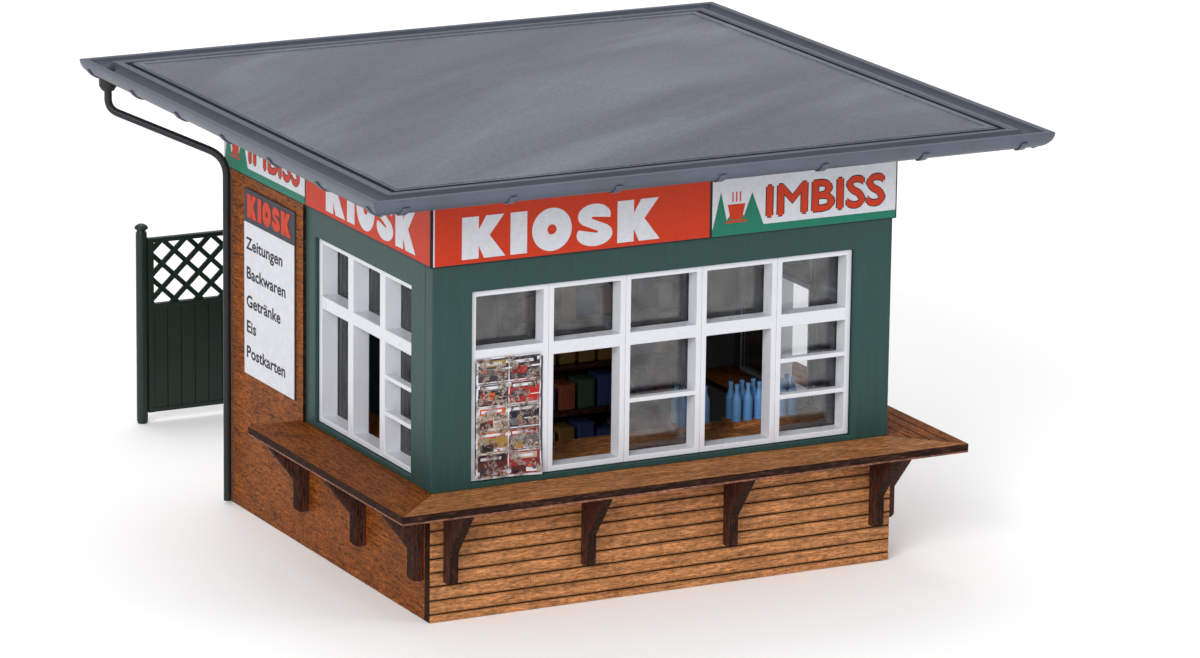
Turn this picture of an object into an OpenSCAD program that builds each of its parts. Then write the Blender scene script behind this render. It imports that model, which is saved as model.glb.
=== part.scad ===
// Street kiosk at model railway scale: a timber-clad hut with glazed serving
// sides, a counter round three sides, a flat roof with a gutter round it, and a
// privacy screen that closes off the yard behind.
// Millimetres. The origin is on the ground, at the centre of the hut's footprint.
// X runs along the front to the right, Y runs to the back, Z is up.

/* [Building] */
// Width of the hut over its front wall
wall_w = 50; // [44:1:70]
// Depth of the hut, front wall to back wall
wall_d = 47.6; // [40:0.2:66]
// Height of the walls, up to the underside of the roof
wall_h = 43; // [38:0.5:56]
// Thickness of the timber wall boards
board_t = 1.1; // [0.8:0.1:1.8]
// Thickness of the green panels round the windows
panel_t = 1.6; // [1:0.1:2]
// How far the timber stands in front of the green panels
panel_recess = 0.3; // [0.1:0.1:0.6]
// Length of the green panel on each side, from the front
side_panel_l = 28.7; // [26:0.1:36]
// Thickness of the floor plate
floor_t = 1; // [0.6:0.1:2]

/* [Counter] */
// Height of the counter's top above the ground
counter_z = 12.6; // [9:0.1:16]
// Thickness of the counter boards
counter_t = 0.9; // [0.6:0.1:1.5]
// How far the counter stands out from the walls
counter_out = 5.5; // [4:0.1:8]
// How far the side counters run past the green panels
counter_past = 0.9; // [0.3:0.1:3]
// Thickness of a counter bracket
bracket_t = 1; // [0.6:0.1:1.5]
// Reach of a bracket under the counter
bracket_reach = 4.7; // [3:0.1:5]
// Depth of a bracket's leg
leg_d = 1.3; // [0.8:0.1:2]
// Height of a bracket's foot above the ground
bracket_z = 3.9; // [1:0.1:6]
// Distance between the two middle brackets under the front counter
bracket_pitch = 15.4; // [10:0.1:18]

/* [Windows] */
// Height of the window frames' lower edge above the ground
sill_z = 13.2; // [13:0.1:17]
// Height of the window frames
window_h = 18.5; // [15:0.1:24]
// Width of one window in the front
front_column_w = 8.2; // [6:0.1:9]
// Width of one window in a side
side_column_w = 7.15; // [6:0.05:8]
// Distance from the front corner to the side windows
side_window_y = 5; // [3:0.1:6]
// Depth of a window frame
frame_d = 1.8; // [1:0.1:2.4]
// Face width of a frame's outer bars
jamb = 0.55; // [0.4:0.05:1]
// Height of the bar between upper and lower panes
transom = 1.25; // [0.8:0.05:2]
// Face width of the fine glazing bars
bar = 0.45; // [0.3:0.05:0.8]
// How far the frames lie behind the green panels' faces
frame_set_back = 0.4; // [0.1:0.1:0.6]
// Height of an upper pane
upper_pane_h = 5.2; // [3:0.1:8]
// Thickness of the glazing
glass_t = 0.2; // [0.1:0.05:0.5]

/* [Signs] */
// Height of the sign boards' lower edge above the ground
sign_z = 34.5; // [33:0.1:36]
// Height of the sign boards
sign_h = 6; // [4:0.1:8]
// Thickness of the sign boards
sign_t = 0.25; // [0.2:0.05:0.8]

/* [Roof] */
// How far the roof stands out from the side walls
roof_out_x = 11; // [6:0.1:16]
// How far the roof stands out from the front and back walls
roof_out_y = 10.8; // [6:0.1:16]
// Thickness of the roof deck
deck_t = 1.15; // [0.8:0.05:2]
// How far the roof's middle rises above its edges
roof_rise = 1.5; // [0.5:0.1:4]
// Outer radius of the half-round gutter
gutter_r = 1.6; // [1.2:0.1:2]
// Width of the gutter's rims
gutter_t = 0.7; // [0.3:0.05:0.9]
// Depth of the channel in the gutter
gutter_channel = 0.65; // [0.4:0.05:0.8]
// Diameter of the downpipe
pipe_d = 0.85; // [0.6:0.05:1.2]

/* [Privacy screen] */
// Distance from the back wall to the screen's line of posts
screen_y = 29.7; // [20:0.1:36]
// Distance between the screen's posts
screen_bay = 21.4; // [16:0.1:24]
// Height of the screen panels' upper edge above the ground
screen_h = 20; // [16:0.1:24]
// Height of the screen panels' lower edge above the ground
screen_gap = 1.1; // [0.5:0.1:3]
// Height of the lattice zone in a panel
lattice_h = 6.6; // [4:0.1:9]
// Diameter of a screen post
post_d = 1.2; // [0.8:0.1:1.6]
// Thickness of a screen panel
screen_t = 0.8; // [0.5:0.1:1]
// Distance between the lattice bars, along the panel
lattice_pitch = 2.8; // [2:0.1:4]
// Face width of a lattice bar
lattice_bar = 0.5; // [0.4:0.05:0.9]

/* [Back door and fittings] */
// Width of the back door's opening
door_w = 11; // [9:0.1:13]
// Height of the back door's opening
door_h = 24; // [22:0.1:27]
// Place of the back door's centre, from the middle of the back wall
door_x = -7; // [-10:0.1:-4]
// Width of the shelf unit
shelf_w = 19; // [12:0.1:20]
// Depth of the shelf unit
shelf_d = 5; // [3:0.1:7]
// Height of the shelf unit
shelf_h = 25; // [18:0.1:30]
// Number of shelves above the lowest
shelf_rows = 5; // [3:1:6]
// Depth of the counter inside the front windows
inner_counter_d = 8.6; // [7:0.1:11]
// Depth of the counters inside the side windows
inner_side_d = 5; // [3:0.1:8]

/* [Hidden] */
$fn = 48;

half_w = wall_w / 2;
half_d = wall_d / 2;
counter_under = counter_z - counter_t;   // underside of the counter boards
panel_face_x = half_w - panel_recess;    // outer face of the side panels
panel_face_y = half_d - panel_recess;    // outer face of the front panel
panel_in_x = panel_face_x - panel_t;     // inner face of the side panels
panel_in_y = panel_face_y - panel_t;     // inner face of the front panel
panel_end_y = side_panel_l - half_d;     // where the side panels stop
board_in_x = half_w - board_t;           // inner face of the side boards
board_in_y = half_d - board_t;           // inner face of the front and back boards

front_columns = 5;
side_columns = 3;
front_window_w = front_columns * front_column_w;
side_window_w = side_columns * side_column_w;
window_x0 = -front_window_w / 2;
frame_gap = 0.05;                        // clearance round the window frames
lower_pane_h = window_h - 2 * jamb - transom - upper_pane_h;
fine_bar_d = frame_d / 2;                // the fine bars are half as deep

rim_z = wall_h + deck_t + 0.05;          // top of the gutter's rim
roof_x = half_w + roof_out_x;
roof_y = half_d + roof_out_y;
deck_inset = 2 * gutter_r;               // the deck starts behind the gutter
groove_w = 0.6;
groove_in = 0.3;
bead_w = 0.7;
bead_h = 0.12;
hook_pitch = 10.9;
hook_w = 0.7;
hook_t = 0.15;
hook_drop = 0.8;                         // the hooks start this far below the rim
fit = 0.02;                              // clearance between round faces

outlet_past_wall = 7.3;                  // the outlet is that far behind the back wall
outlet_r = 1;
outlet_x = roof_x - gutter_r;
outlet_end_y = half_d + outlet_past_wall;
outlet_z = rim_z - gutter_r - 1.1;
outlet_h = rim_z - gutter_channel - 0.1 - outlet_z;
pipe_r = pipe_d / 2;
pipe_x = half_w + pipe_r + 0.2;          // the pipe stands just off the wall
pipe_y = half_d - 2;
pipe_foot_z = 0.3;
elbow_swell = 0.06;                      // the elbows are a little thicker than the pipe
pipe_points = [
    [-outlet_x, outlet_end_y, outlet_z],
    [-outlet_x, outlet_end_y, outlet_z - 1.3],
    [-outlet_x + 0.6, outlet_end_y - 0.6, outlet_z - 2.4],
    [-pipe_x - 0.8, pipe_y + 0.8, outlet_z - 5],
    [-pipe_x, pipe_y, outlet_z - 6.2],
    [-pipe_x, pipe_y, pipe_foot_z]
];

// ---------- shared shapes ----------

// A box given by its two opposite corners
module span(low, high) {
    translate(low) cube(high - low);
}

// The same shape on the left, and mirrored on the right
module on_right() {
    mirror([1, 0, 0]) children();
}

// A straight round bar between two points
module round_bar(start, end, r) {
    run = end - start;
    length = norm(run);
    tilt = acos(run[2] / length);
    turn = atan2(run[1], run[0]);
    translate(start) rotate([0, tilt, turn]) cylinder(r = r, h = length);
}

// ---------- walls and floor ----------

module floor_plate() {
    color("dimgray")
        span([-board_in_x, -board_in_y, 0], [board_in_x, board_in_y, floor_t]);
}

module front_plank_wall() {
    color("peru")
        span([-half_w, -half_d, 0], [half_w, -board_in_y, counter_under]);
}

module side_lower_wall() {
    color("sienna")
        span([-half_w, -board_in_y, 0], [-board_in_x, panel_end_y, counter_under]);
}

module left_lower_wall() { side_lower_wall(); }
module right_lower_wall() { on_right() side_lower_wall(); }

// The sign board lies in a rebate, in line with the green panel
module side_rear_wall() {
    color("sienna") difference() {
        span([-half_w, panel_end_y, 0], [-board_in_x, board_in_y, wall_h]);
        span([-half_w - 1, panel_end_y - 1, sign_z],
             [-panel_face_x, board_in_y + 1, wall_h + 1]);
    }
}

module left_rear_wall() { side_rear_wall(); }
module right_rear_wall() { on_right() side_rear_wall(); }

// One length of the back wall, notched where the side signs run past it
module back_wall_part(x0, x1, z0) {
    color("sienna") difference() {
        span([x0, board_in_y, z0], [x1, half_d, wall_h]);
        for (side = [-1, 1])
            translate([side * (panel_face_x + half_w) / 2, half_d, sign_z + wall_h / 2])
                cube([panel_recess, 4 * board_t, wall_h], center = true);
    }
}

module back_wall_left() { back_wall_part(-half_w, door_x - door_w / 2, 0); }
module back_wall_right() { back_wall_part(door_x + door_w / 2, half_w, 0); }
module back_wall_over_door() {
    back_wall_part(door_x - door_w / 2, door_x + door_w / 2, door_h);
}

door_frame_w = 0.7;
door_frame_out = 0.2;

module back_door_frame() {
    color("darkslategray") difference() {
        span([door_x - door_w / 2, board_in_y, 0],
             [door_x + door_w / 2, half_d + door_frame_out, door_h]);
        span([door_x - door_w / 2 + door_frame_w, board_in_y - 1, -1],
             [door_x + door_w / 2 - door_frame_w, half_d + 1, door_h - door_frame_w]);
    }
}

module back_door() {
    color("seagreen")
        span([door_x - door_w / 2 + door_frame_w, board_in_y + 0.2, 0],
             [door_x + door_w / 2 - door_frame_w, half_d - 0.2, door_h - door_frame_w]);
}

// ---------- green panels ----------

module front_green_panel() {
    color("darkslategray") difference() {
        span([-panel_face_x, -panel_face_y, counter_z],
             [panel_face_x, -panel_in_y, wall_h]);
        span([window_x0 - frame_gap, -half_d, sill_z - frame_gap],
             [-window_x0 + frame_gap, 0, sill_z + window_h + frame_gap]);
    }
}

module side_green_panel() {
    window_y0 = -half_d + side_window_y;
    color("darkslategray") difference() {
        span([-panel_face_x, -panel_in_y, counter_z],
             [-panel_in_x, panel_end_y, wall_h]);
        span([-half_w, window_y0 - frame_gap, sill_z - frame_gap],
             [0, window_y0 + side_window_w + frame_gap, sill_z + window_h + frame_gap]);
    }
}

module left_green_panel() { side_green_panel(); }
module right_green_panel() { on_right() side_green_panel(); }

// ---------- windows ----------

// A frame of width w, standing on z = 0 with its outer face at y = 0.
// splits lists the heights, as shares of the lower light, of its fine bars.
module window_frame(w, splits) {
    lower_top = jamb + lower_pane_h;
    color("ghostwhite") difference() {
        cube([w, frame_d, window_h]);
        translate([jamb, -1, jamb]) cube([w - 2 * jamb, frame_d + 2, lower_pane_h]);
        translate([jamb, -1, lower_top + transom])
            cube([w - 2 * jamb, frame_d + 2, upper_pane_h]);
    }
    color("ghostwhite") for (share = splits)
        translate([jamb, 0, jamb + share * lower_pane_h - bar / 2])
            cube([w - 2 * jamb, fine_bar_d, bar]);
}

one_light = [];
two_lights = [0.5];
three_lights = [0.36, 0.69];
front_splits = [one_light, one_light, two_lights, one_light, three_lights];
side_splits = [three_lights, one_light, one_light];
front_hatches = [1, 3];                  // open lower lights, counted from 0
side_hatches = [1];
frame_face_y = -panel_face_y + frame_set_back;
frame_face_x = -panel_face_x + frame_set_back;

module front_window(i) {
    translate([window_x0 + i * front_column_w, frame_face_y, sill_z])
        window_frame(front_column_w, front_splits[i]);
}

// Side windows are counted from the front corner
module side_window(i) {
    translate([frame_face_x, -half_d + side_window_y + (i + 1) * side_column_w, sill_z])
        rotate(-90) window_frame(side_column_w, side_splits[i]);
}

module front_window_1() { front_window(0); }
module front_window_2() { front_window(1); }
module front_window_3() { front_window(2); }
module front_window_4() { front_window(3); }
module front_window_5() { front_window(4); }
module left_window_1() { side_window(0); }
module left_window_2() { side_window(1); }
module left_window_3() { side_window(2); }
module right_window_1() { on_right() side_window(0); }
module right_window_2() { on_right() side_window(1); }
module right_window_3() { on_right() side_window(2); }

// A pane behind a frame of width w: only its upper light where the lower is open
module pane(w, open) {
    edge = 0.15;
    low = open ? jamb + lower_pane_h + transom / 2 : edge;
    color("lightcyan", 0.4) translate([edge, frame_d, low])
        cube([w - 2 * edge, glass_t, window_h - edge - low]);
}

module front_glass() {
    for (i = [0 : front_columns - 1])
        translate([window_x0 + i * front_column_w, frame_face_y, sill_z])
            pane(front_column_w, len(search(i, front_hatches)) > 0);
}

module side_glass() {
    for (i = [0 : side_columns - 1])
        translate([frame_face_x, -half_d + side_window_y + (i + 1) * side_column_w, sill_z])
            rotate(-90) pane(side_column_w, len(search(i, side_hatches)) > 0);
}

module window_glass() {
    front_glass();
    side_glass();
    on_right() side_glass();
}

// ---------- counter ----------

module counter_board(points) {
    color("sandybrown") translate([0, 0, counter_under])
        linear_extrude(counter_t) polygon(points);
}

module front_counter() {
    counter_board([
        [-half_w - counter_out, -half_d - counter_out],
        [half_w + counter_out, -half_d - counter_out],
        [panel_in_x, -panel_in_y],
        [-panel_in_x, -panel_in_y]
    ]);
}

module side_counter() {
    counter_board([
        [-half_w - counter_out, -half_d - counter_out],
        [-panel_in_x, -panel_in_y],
        [-panel_in_x, panel_end_y],
        [-half_w, panel_end_y],
        [-half_w, panel_end_y + counter_past],
        [-half_w - counter_out, panel_end_y + counter_past]
    ]);
}

module left_counter() { side_counter(); }
module right_counter() { on_right() side_counter(); }

// A bracket against a wall at x = 0, reaching towards -X
module bracket() {
    nose = 0.2;
    chamfer = 0.3;
    knee_z = bracket_z + 3.1;
    color("saddlebrown") translate([0, bracket_t / 2, 0]) rotate([90, 0, 0])
        linear_extrude(bracket_t) polygon([
            [0, counter_under], [-bracket_reach, counter_under],
            [-bracket_reach, counter_under - nose],
            [-leg_d, knee_z], [-leg_d, bracket_z + chamfer],
            [-leg_d + chamfer, bracket_z], [0, bracket_z]
        ]);
}

bracket_inset = 1.9;                     // from a corner to the nearest front bracket
middle_shift = -0.8;                     // the two middle brackets stand a little left
front_bracket_xs = [
    -half_w + bracket_inset, middle_shift - bracket_pitch / 2,
    middle_shift + bracket_pitch / 2, half_w - bracket_inset
];
side_bracket_ys = [1.8, 14.6, 27.7];     // from the front corner

module front_brackets() {
    for (x = front_bracket_xs) translate([x, -half_d, 0]) rotate(90) bracket();
}

module side_brackets() {
    for (y = side_bracket_ys) translate([-half_w, y - half_d, 0]) bracket();
}

module counter_brackets() {
    front_brackets();
    side_brackets();
    on_right() side_brackets();
}

// ---------- signs ----------

module front_sign() {
    color("tomato")
        span([-panel_face_x - sign_t, -panel_face_y - sign_t, sign_z],
             [panel_face_x + sign_t, -panel_face_y, sign_z + sign_h]);
}

module side_sign() {
    color("tomato")
        span([-panel_face_x - sign_t, -panel_face_y, sign_z],
             [-panel_face_x, half_d, sign_z + sign_h]);
}

module left_sign() { side_sign(); }
module right_sign() { on_right() side_sign(); }

poster_w = 12;
poster_h = 19;
poster_t = 0.2;
poster_z = 14.4;
poster_past_panel = 1.6;

module wall_poster() {
    color("white")
        span([-half_w - poster_t, panel_end_y + poster_past_panel, poster_z],
             [-half_w, panel_end_y + poster_past_panel + poster_w, poster_z + poster_h]);
}

sheet_t = 0.12;
sheet_w = 6.8;
sheet_h = 11.8;
sheet_margin = 0.5;

module magazine_sheet() {
    sheet_x = window_x0 + sheet_margin;
    color("orange")
        span([sheet_x, frame_face_y - sheet_t, sill_z + 0.1],
             [sheet_x + sheet_w, frame_face_y, sill_z + 0.1 + sheet_h]);
}

// ---------- roof and gutter ----------

module frame_outline(inset, width) {
    difference() {
        square(2 * [roof_x - inset, roof_y - inset], center = true);
        square(2 * [roof_x - inset - width, roof_y - inset - width], center = true);
    }
}

// Everything above a plane that passes through y = -run at z = 0 and rises by
// rise towards y = 0
module above_slope(run, rise) {
    reach = 2 * (roof_x + roof_y);
    translate([0, -run, 0]) rotate([atan(rise / run), 0, 0])
        translate([-reach, -reach, 0]) cube([2 * reach, 2 * reach, reach]);
}

// The field of the roof: four very shallow slopes that meet in the middle
module roof_field(half_x, half_y) {
    difference() {
        linear_extrude(roof_rise) square(2 * [half_x, half_y], center = true);
        above_slope(half_y, roof_rise);
        rotate(180) above_slope(half_y, roof_rise);
        rotate(90) above_slope(half_x, roof_rise);
        rotate(-90) above_slope(half_x, roof_rise);
    }
}

module roof_deck() {
    deck_top = wall_h + deck_t;
    groove_inset = deck_inset + 0.2;
    bead_inset = groove_inset + groove_w + 0.2;
    field_inset = bead_inset + bead_w + 0.2;
    color("slategray") {
        difference() {
            translate([0, 0, wall_h]) linear_extrude(deck_t)
                square(2 * [roof_x - deck_inset, roof_y - deck_inset], center = true);
            translate([0, 0, deck_top - groove_in]) linear_extrude(1)
                frame_outline(groove_inset, groove_w);
        }
        translate([0, 0, deck_top]) linear_extrude(bead_h)
            frame_outline(bead_inset, bead_w);
        translate([0, 0, deck_top])
            roof_field(roof_x - field_inset, roof_y - field_inset);
    }
}

// The gutter's section: x runs inwards from the outer rim, y is height. It is a
// half-round moulding with a shallow channel, and square where it meets the deck.
module gutter_section() {
    half_channel = gutter_r - gutter_t;
    channel_r = (pow(half_channel, 2) + pow(gutter_channel, 2)) / (2 * gutter_channel);
    difference() {
        union() {
            translate([gutter_r, 0]) intersection() {
                circle(r = gutter_r);
                translate([-gutter_r, -gutter_r]) square([2 * gutter_r, gutter_r]);
            }
            translate([2 * gutter_r - gutter_t, -rim_z + wall_h])
                square([gutter_t, rim_z - wall_h]);
        }
        translate([gutter_r, channel_r - gutter_channel]) circle(r = channel_r);
    }
}

// One side of the gutter, centred on the middle of a side that is 2 * half long,
// with its outer rim at y = -out, mitred at both ends
module gutter_run(half, out) {
    color("slategray") intersection() {
        translate([half, -out, rim_z]) rotate([90, 0, -90])
            linear_extrude(2 * half) mirror([1, 0]) gutter_section();
        translate([0, -out, rim_z - 2 * gutter_r]) linear_extrude(3 * gutter_r)
            polygon([[-half, 0], [half, 0], [half - 2 * gutter_r, 2 * gutter_r],
                     [-half + 2 * gutter_r, 2 * gutter_r]]);
    }
}

module front_gutter() { gutter_run(roof_x, roof_y); }
module back_gutter() { rotate(180) gutter_run(roof_x, roof_y); }
module right_gutter() { rotate(90) gutter_run(roof_y, roof_x); }

// The outlet stands in a hole in the gutter's bottom
module left_gutter() {
    difference() {
        rotate(-90) gutter_run(roof_y, roof_x);
        translate([-outlet_x, outlet_end_y, outlet_z])
            cylinder(r = outlet_r + fit, h = rim_z - outlet_z);
    }
}
// A hook is a band round the outer quarter of the gutter
module hook(out) {
    translate([-hook_w / 2, -out + gutter_r, rim_z]) rotate([90, 0, 90])
        linear_extrude(hook_w) intersection() {
            difference() {
                circle(r = gutter_r + fit + hook_t);
                circle(r = gutter_r + fit);
            }
            translate([-2 * gutter_r, -2 * gutter_r])
                square([2 * gutter_r, 2 * gutter_r - hook_drop]);
        }
}

module hook_row(half, out) {
    count = floor((half - gutter_r) / hook_pitch);
    for (i = [-count : count]) translate([i * hook_pitch, 0, 0]) hook(out);
}

module gutter_hooks() {
    color("slategray") {
        hook_row(roof_x, roof_y);
        rotate(180) hook_row(roof_x, roof_y);
        rotate(-90) hook_row(roof_y, roof_x);
        rotate(90) hook_row(roof_y, roof_x);
    }
}

module pipe_outlet() {
    taper_h = 0.3;
    color("slategray") translate([-outlet_x, outlet_end_y, outlet_z]) {
        cylinder(r1 = outlet_r - taper_h, r2 = outlet_r, h = taper_h);
        translate([0, 0, taper_h]) cylinder(r = outlet_r, h = outlet_h - taper_h);
    }
}

module downpipe() {
    last = len(pipe_points) - 1;
    color("slategray") {
        for (i = [0 : last - 1]) round_bar(pipe_points[i], pipe_points[i + 1], pipe_r);
        for (i = [1 : last - 1]) translate(pipe_points[i]) sphere(r = pipe_r + elbow_swell);
    }
}

// ---------- inside ----------

inner_counter_t = 0.6;
inner_counter_z = sill_z - 0.1;
inner_counter_y = -panel_in_y + inner_counter_d;

module inner_front_counter() {
    color("peru")
        span([-panel_in_x, -panel_in_y, inner_counter_z - inner_counter_t],
             [panel_in_x, inner_counter_y, inner_counter_z]);
}

module inner_side_counter() {
    color("peru")
        span([-panel_in_x, inner_counter_y, inner_counter_z - inner_counter_t],
             [-panel_in_x + inner_side_d, panel_end_y, inner_counter_z]);
}

module inner_left_counter() { inner_side_counter(); }
module inner_right_counter() { on_right() inner_side_counter(); }

bottle_r = 0.5;
bottle_h = 4.4;
bottle_pitch = 1.25;
shoulder_z = 2.9;
neck_z = 3.7;
bottle_neck_r = 0.2;
crate_h = 0.7;
big_crate_in = 11.9;                     // from the right-hand panel to the crates
small_crate_in = 17.5;

module bottle() {
    cylinder(r = bottle_r, h = shoulder_z);
    translate([0, 0, shoulder_z])
        cylinder(r1 = bottle_r, r2 = bottle_neck_r, h = neck_z - shoulder_z);
    translate([0, 0, neck_z]) cylinder(r = bottle_neck_r, h = bottle_h - neck_z);
}

// Bottles in a low crate, with the crate's left front corner at x, y
module bottle_crate(x, y, columns, rows) {
    translate([x, y, inner_counter_z]) {
        cube([columns * bottle_pitch, rows * bottle_pitch, crate_h]);
        for (i = [0.5 : columns], j = [0.5 : rows])
            translate([i * bottle_pitch, j * bottle_pitch, 0]) bottle();
    }
}

module counter_bottles() {
    color("steelblue") {
        bottle_crate(panel_in_x - big_crate_in, inner_counter_y - 3.6, 6, 2);
        bottle_crate(panel_in_x - small_crate_in, inner_counter_y - 2.8, 3, 2);
    }
}

shelf_x1 = board_in_x;
shelf_x0 = shelf_x1 - shelf_w;
shelf_y1 = board_in_y;
shelf_y0 = shelf_y1 - shelf_d;
shelf_board = 0.5;
shelf_step = (shelf_h - shelf_board) / shelf_rows;

module shelf_unit() {
    color("maroon") difference() {
        span([shelf_x0, shelf_y0, floor_t], [shelf_x1, shelf_y1, floor_t + shelf_h]);
        for (i = [0 : shelf_rows - 1])
            span([shelf_x0 + shelf_board, shelf_y0 - 1, floor_t + i * shelf_step + shelf_board],
                 [shelf_x1 - shelf_board, shelf_y1 - shelf_board, floor_t + (i + 1) * shelf_step]);
    }
}

// Boxes in a row on each shelf, each a little different in height
goods_count = 8;

module shelf_goods() {
    pitch = (shelf_w - 2 * shelf_board) / goods_count;
    color("indianred") for (i = [0 : shelf_rows - 1], j = [0 : goods_count - 1])
        translate([shelf_x0 + shelf_board + (j + 0.1) * pitch, shelf_y0 + 0.6,
                   floor_t + i * shelf_step + shelf_board])
            cube([0.8 * pitch, 2.6, 2.4 + 0.3 * ((3 * i + 5 * j) % 4)]);
}

// ---------- privacy screen ----------

screen_line_y = half_d + screen_y;
post_r = post_d / 2;
post_h = screen_h + 0.9;
foot_h = 0.35;
neck_r = post_r * 0.8;
cap_r = post_r + 0.15;
rail_h = 0.5;
stile_w = 0.65;
lattice_t = 0.5;
lattice_angle = 43.5;
boards_t = 0.5;

module screen_post() {
    cylinder(r1 = post_r - 0.2, r2 = post_r, h = foot_h);
    translate([0, 0, foot_h]) cylinder(r = post_r, h = post_h - foot_h);
    translate([0, 0, post_h]) cylinder(r1 = neck_r, r2 = cap_r, h = 0.3);
    translate([0, 0, post_h + 0.3]) cylinder(r1 = cap_r, r2 = cap_r * 0.4, h = 0.4);
}

module screen_posts() {
    color("darkgreen") {
        for (i = [-1 : 1]) translate([i * screen_bay, screen_line_y, 0]) screen_post();
        translate([screen_bay, half_d + post_r + fit, 0]) screen_post();
    }
}

// A panel of length l that runs along +X from the origin, in the plane y = 0
module screen_panel(l) {
    top_rail_z = screen_h - rail_h;
    lattice_z = top_rail_z - lattice_h;
    step_z = lattice_pitch * tan(lattice_angle);
    rise = l * tan(lattice_angle);
    bar_l = l / cos(lattice_angle) + 2;
    color("darkgreen") {
        translate([0, -screen_t / 2, top_rail_z]) cube([l, screen_t, rail_h]);
        translate([0, -screen_t / 2, lattice_z - rail_h]) cube([l, screen_t, rail_h]);
        translate([0, -boards_t / 2, screen_gap]) cube([l, boards_t, lattice_z - screen_gap]);
        for (x = [0, l - stile_w])
            translate([x, -screen_t / 2, screen_gap]) cube([stile_w, screen_t, screen_h - screen_gap]);
        translate([0, lattice_t / 2, lattice_z]) rotate([90, 0, 0]) linear_extrude(lattice_t)
            intersection() {
                square([l, lattice_h]);
                union() for (k = [-ceil(rise / step_z) : ceil(lattice_h / step_z)]) {
                    translate([0, k * step_z]) rotate(lattice_angle)
                        translate([-1, -lattice_bar / 2]) square([bar_l, lattice_bar]);
                    translate([l, k * step_z]) rotate(180 - lattice_angle)
                        translate([-1, -lattice_bar / 2]) square([bar_l, lattice_bar]);
                }
            }
    }
}

panel_clear = post_r + fit;              // from a post's centre to a panel's end
bay_clear = screen_bay - 2 * panel_clear;
return_clear = screen_y - post_r - fit - 2 * panel_clear;

module screen_panel_left() {
    translate([-screen_bay + panel_clear, screen_line_y, 0]) screen_panel(bay_clear);
}

module screen_panel_right() {
    translate([panel_clear, screen_line_y, 0]) screen_panel(bay_clear);
}

module screen_return_panel() {
    translate([screen_bay, half_d + post_r + fit + panel_clear, 0]) rotate(90)
        screen_panel(return_clear);
}

floor_plate();
front_plank_wall();
left_lower_wall();
right_lower_wall();
left_rear_wall();
right_rear_wall();
back_wall_left();
back_wall_right();
back_wall_over_door();
back_door_frame();
back_door();
front_green_panel();
left_green_panel();
right_green_panel();
front_window_1();
front_window_2();
front_window_3();
front_window_4();
front_window_5();
left_window_1();
left_window_2();
left_window_3();
right_window_1();
right_window_2();
right_window_3();
window_glass();
front_counter();
left_counter();
right_counter();
counter_brackets();
front_sign();
left_sign();
right_sign();
wall_poster();
magazine_sheet();
roof_deck();
front_gutter();
back_gutter();
left_gutter();
right_gutter();
gutter_hooks();
pipe_outlet();
downpipe();
inner_front_counter();
inner_left_counter();
inner_right_counter();
counter_bottles();
shelf_unit();
shelf_goods();
screen_posts();
screen_panel_left();
screen_panel_right();
screen_return_panel();
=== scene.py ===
"""A street kiosk at model railway scale: a stained timber hut with green painted
window panels, a bracketed counter round three sides, a slate grey roof with
its gutter and downpipe, printed signs and a privacy screen behind."""

import math
import random

import bmesh
import bpy
from bpy.props import (
    FloatProperty,
    FloatVectorProperty,
    IntProperty,
    PointerProperty,
)
from mathutils import Matrix, Vector


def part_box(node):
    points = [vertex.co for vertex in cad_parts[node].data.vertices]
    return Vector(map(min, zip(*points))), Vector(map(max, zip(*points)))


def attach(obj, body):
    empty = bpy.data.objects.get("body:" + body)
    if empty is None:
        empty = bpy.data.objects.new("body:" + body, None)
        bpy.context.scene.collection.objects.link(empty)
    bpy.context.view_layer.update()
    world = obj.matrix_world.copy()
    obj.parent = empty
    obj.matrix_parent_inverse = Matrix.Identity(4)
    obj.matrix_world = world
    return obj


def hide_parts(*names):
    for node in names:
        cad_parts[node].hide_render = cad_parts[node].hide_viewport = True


bl_info = {
    "name": "Street kiosk",
    "version": (1, 0, 0),
    "blender": (4, 5, 0),
    "location": "View3D > Sidebar > Kiosk",
    "description": "Dresses the frame of a model street kiosk",
    "category": "Object",
}

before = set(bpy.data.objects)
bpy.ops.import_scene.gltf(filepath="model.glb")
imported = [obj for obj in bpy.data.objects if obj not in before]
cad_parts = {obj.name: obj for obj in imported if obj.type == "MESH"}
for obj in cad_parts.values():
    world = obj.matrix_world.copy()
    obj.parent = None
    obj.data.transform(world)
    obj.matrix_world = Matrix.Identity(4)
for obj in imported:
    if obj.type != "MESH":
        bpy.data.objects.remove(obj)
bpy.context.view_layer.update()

# Shapes are modelled in millimetres and made into metres when they are done
MM = 0.001
BODY = "root"
X, Y, Z = 0, 1, 2

# Height of one layer of print, and the clearance between round pieces
PRINT_RELIEF = 0.02
FIT = 0.02
# How far the painted highlight along the roof's hips is moved outwards along X
HIP_HIGHLIGHT_SHIFT = 0.2
# Per side of the hut: the share of the free length before the word, and its stretch
HEADING = {"front": (0.36, 1.0), "left": (0.6, 0.955), "right": (0.4, 0.955)}
SIGN_WORD, SNACK_WORD = "KIOSK", "IMBISS"
# The surroundings by height: sine of the elevation, and brightness
SKY_BANDS = ((0.0, 1.0), (0.12, 1.0), (0.26, 0.45), (0.40, 0.75), (1.0, 1.0))


# ---------- settings ----------


def srgb(red, green, blue):
    """A colour given as it shows on a screen, 0 to 255, as linear light."""

    def linear(value):
        value /= 255
        return value / 12.92 if value <= 0.04045 else ((value + 0.055) / 1.055) ** 2.4

    return linear(red), linear(green), linear(blue)


def length(name, description, default):
    return FloatProperty(
        name=name, description=description, default=default * MM,
        min=0.0, unit="LENGTH", precision=6,
    )


def colour(name, description, default):
    return FloatVectorProperty(
        name=name, description=description, default=srgb(*default),
        size=3, min=0.0, max=1.0, subtype="COLOR",
    )


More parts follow.
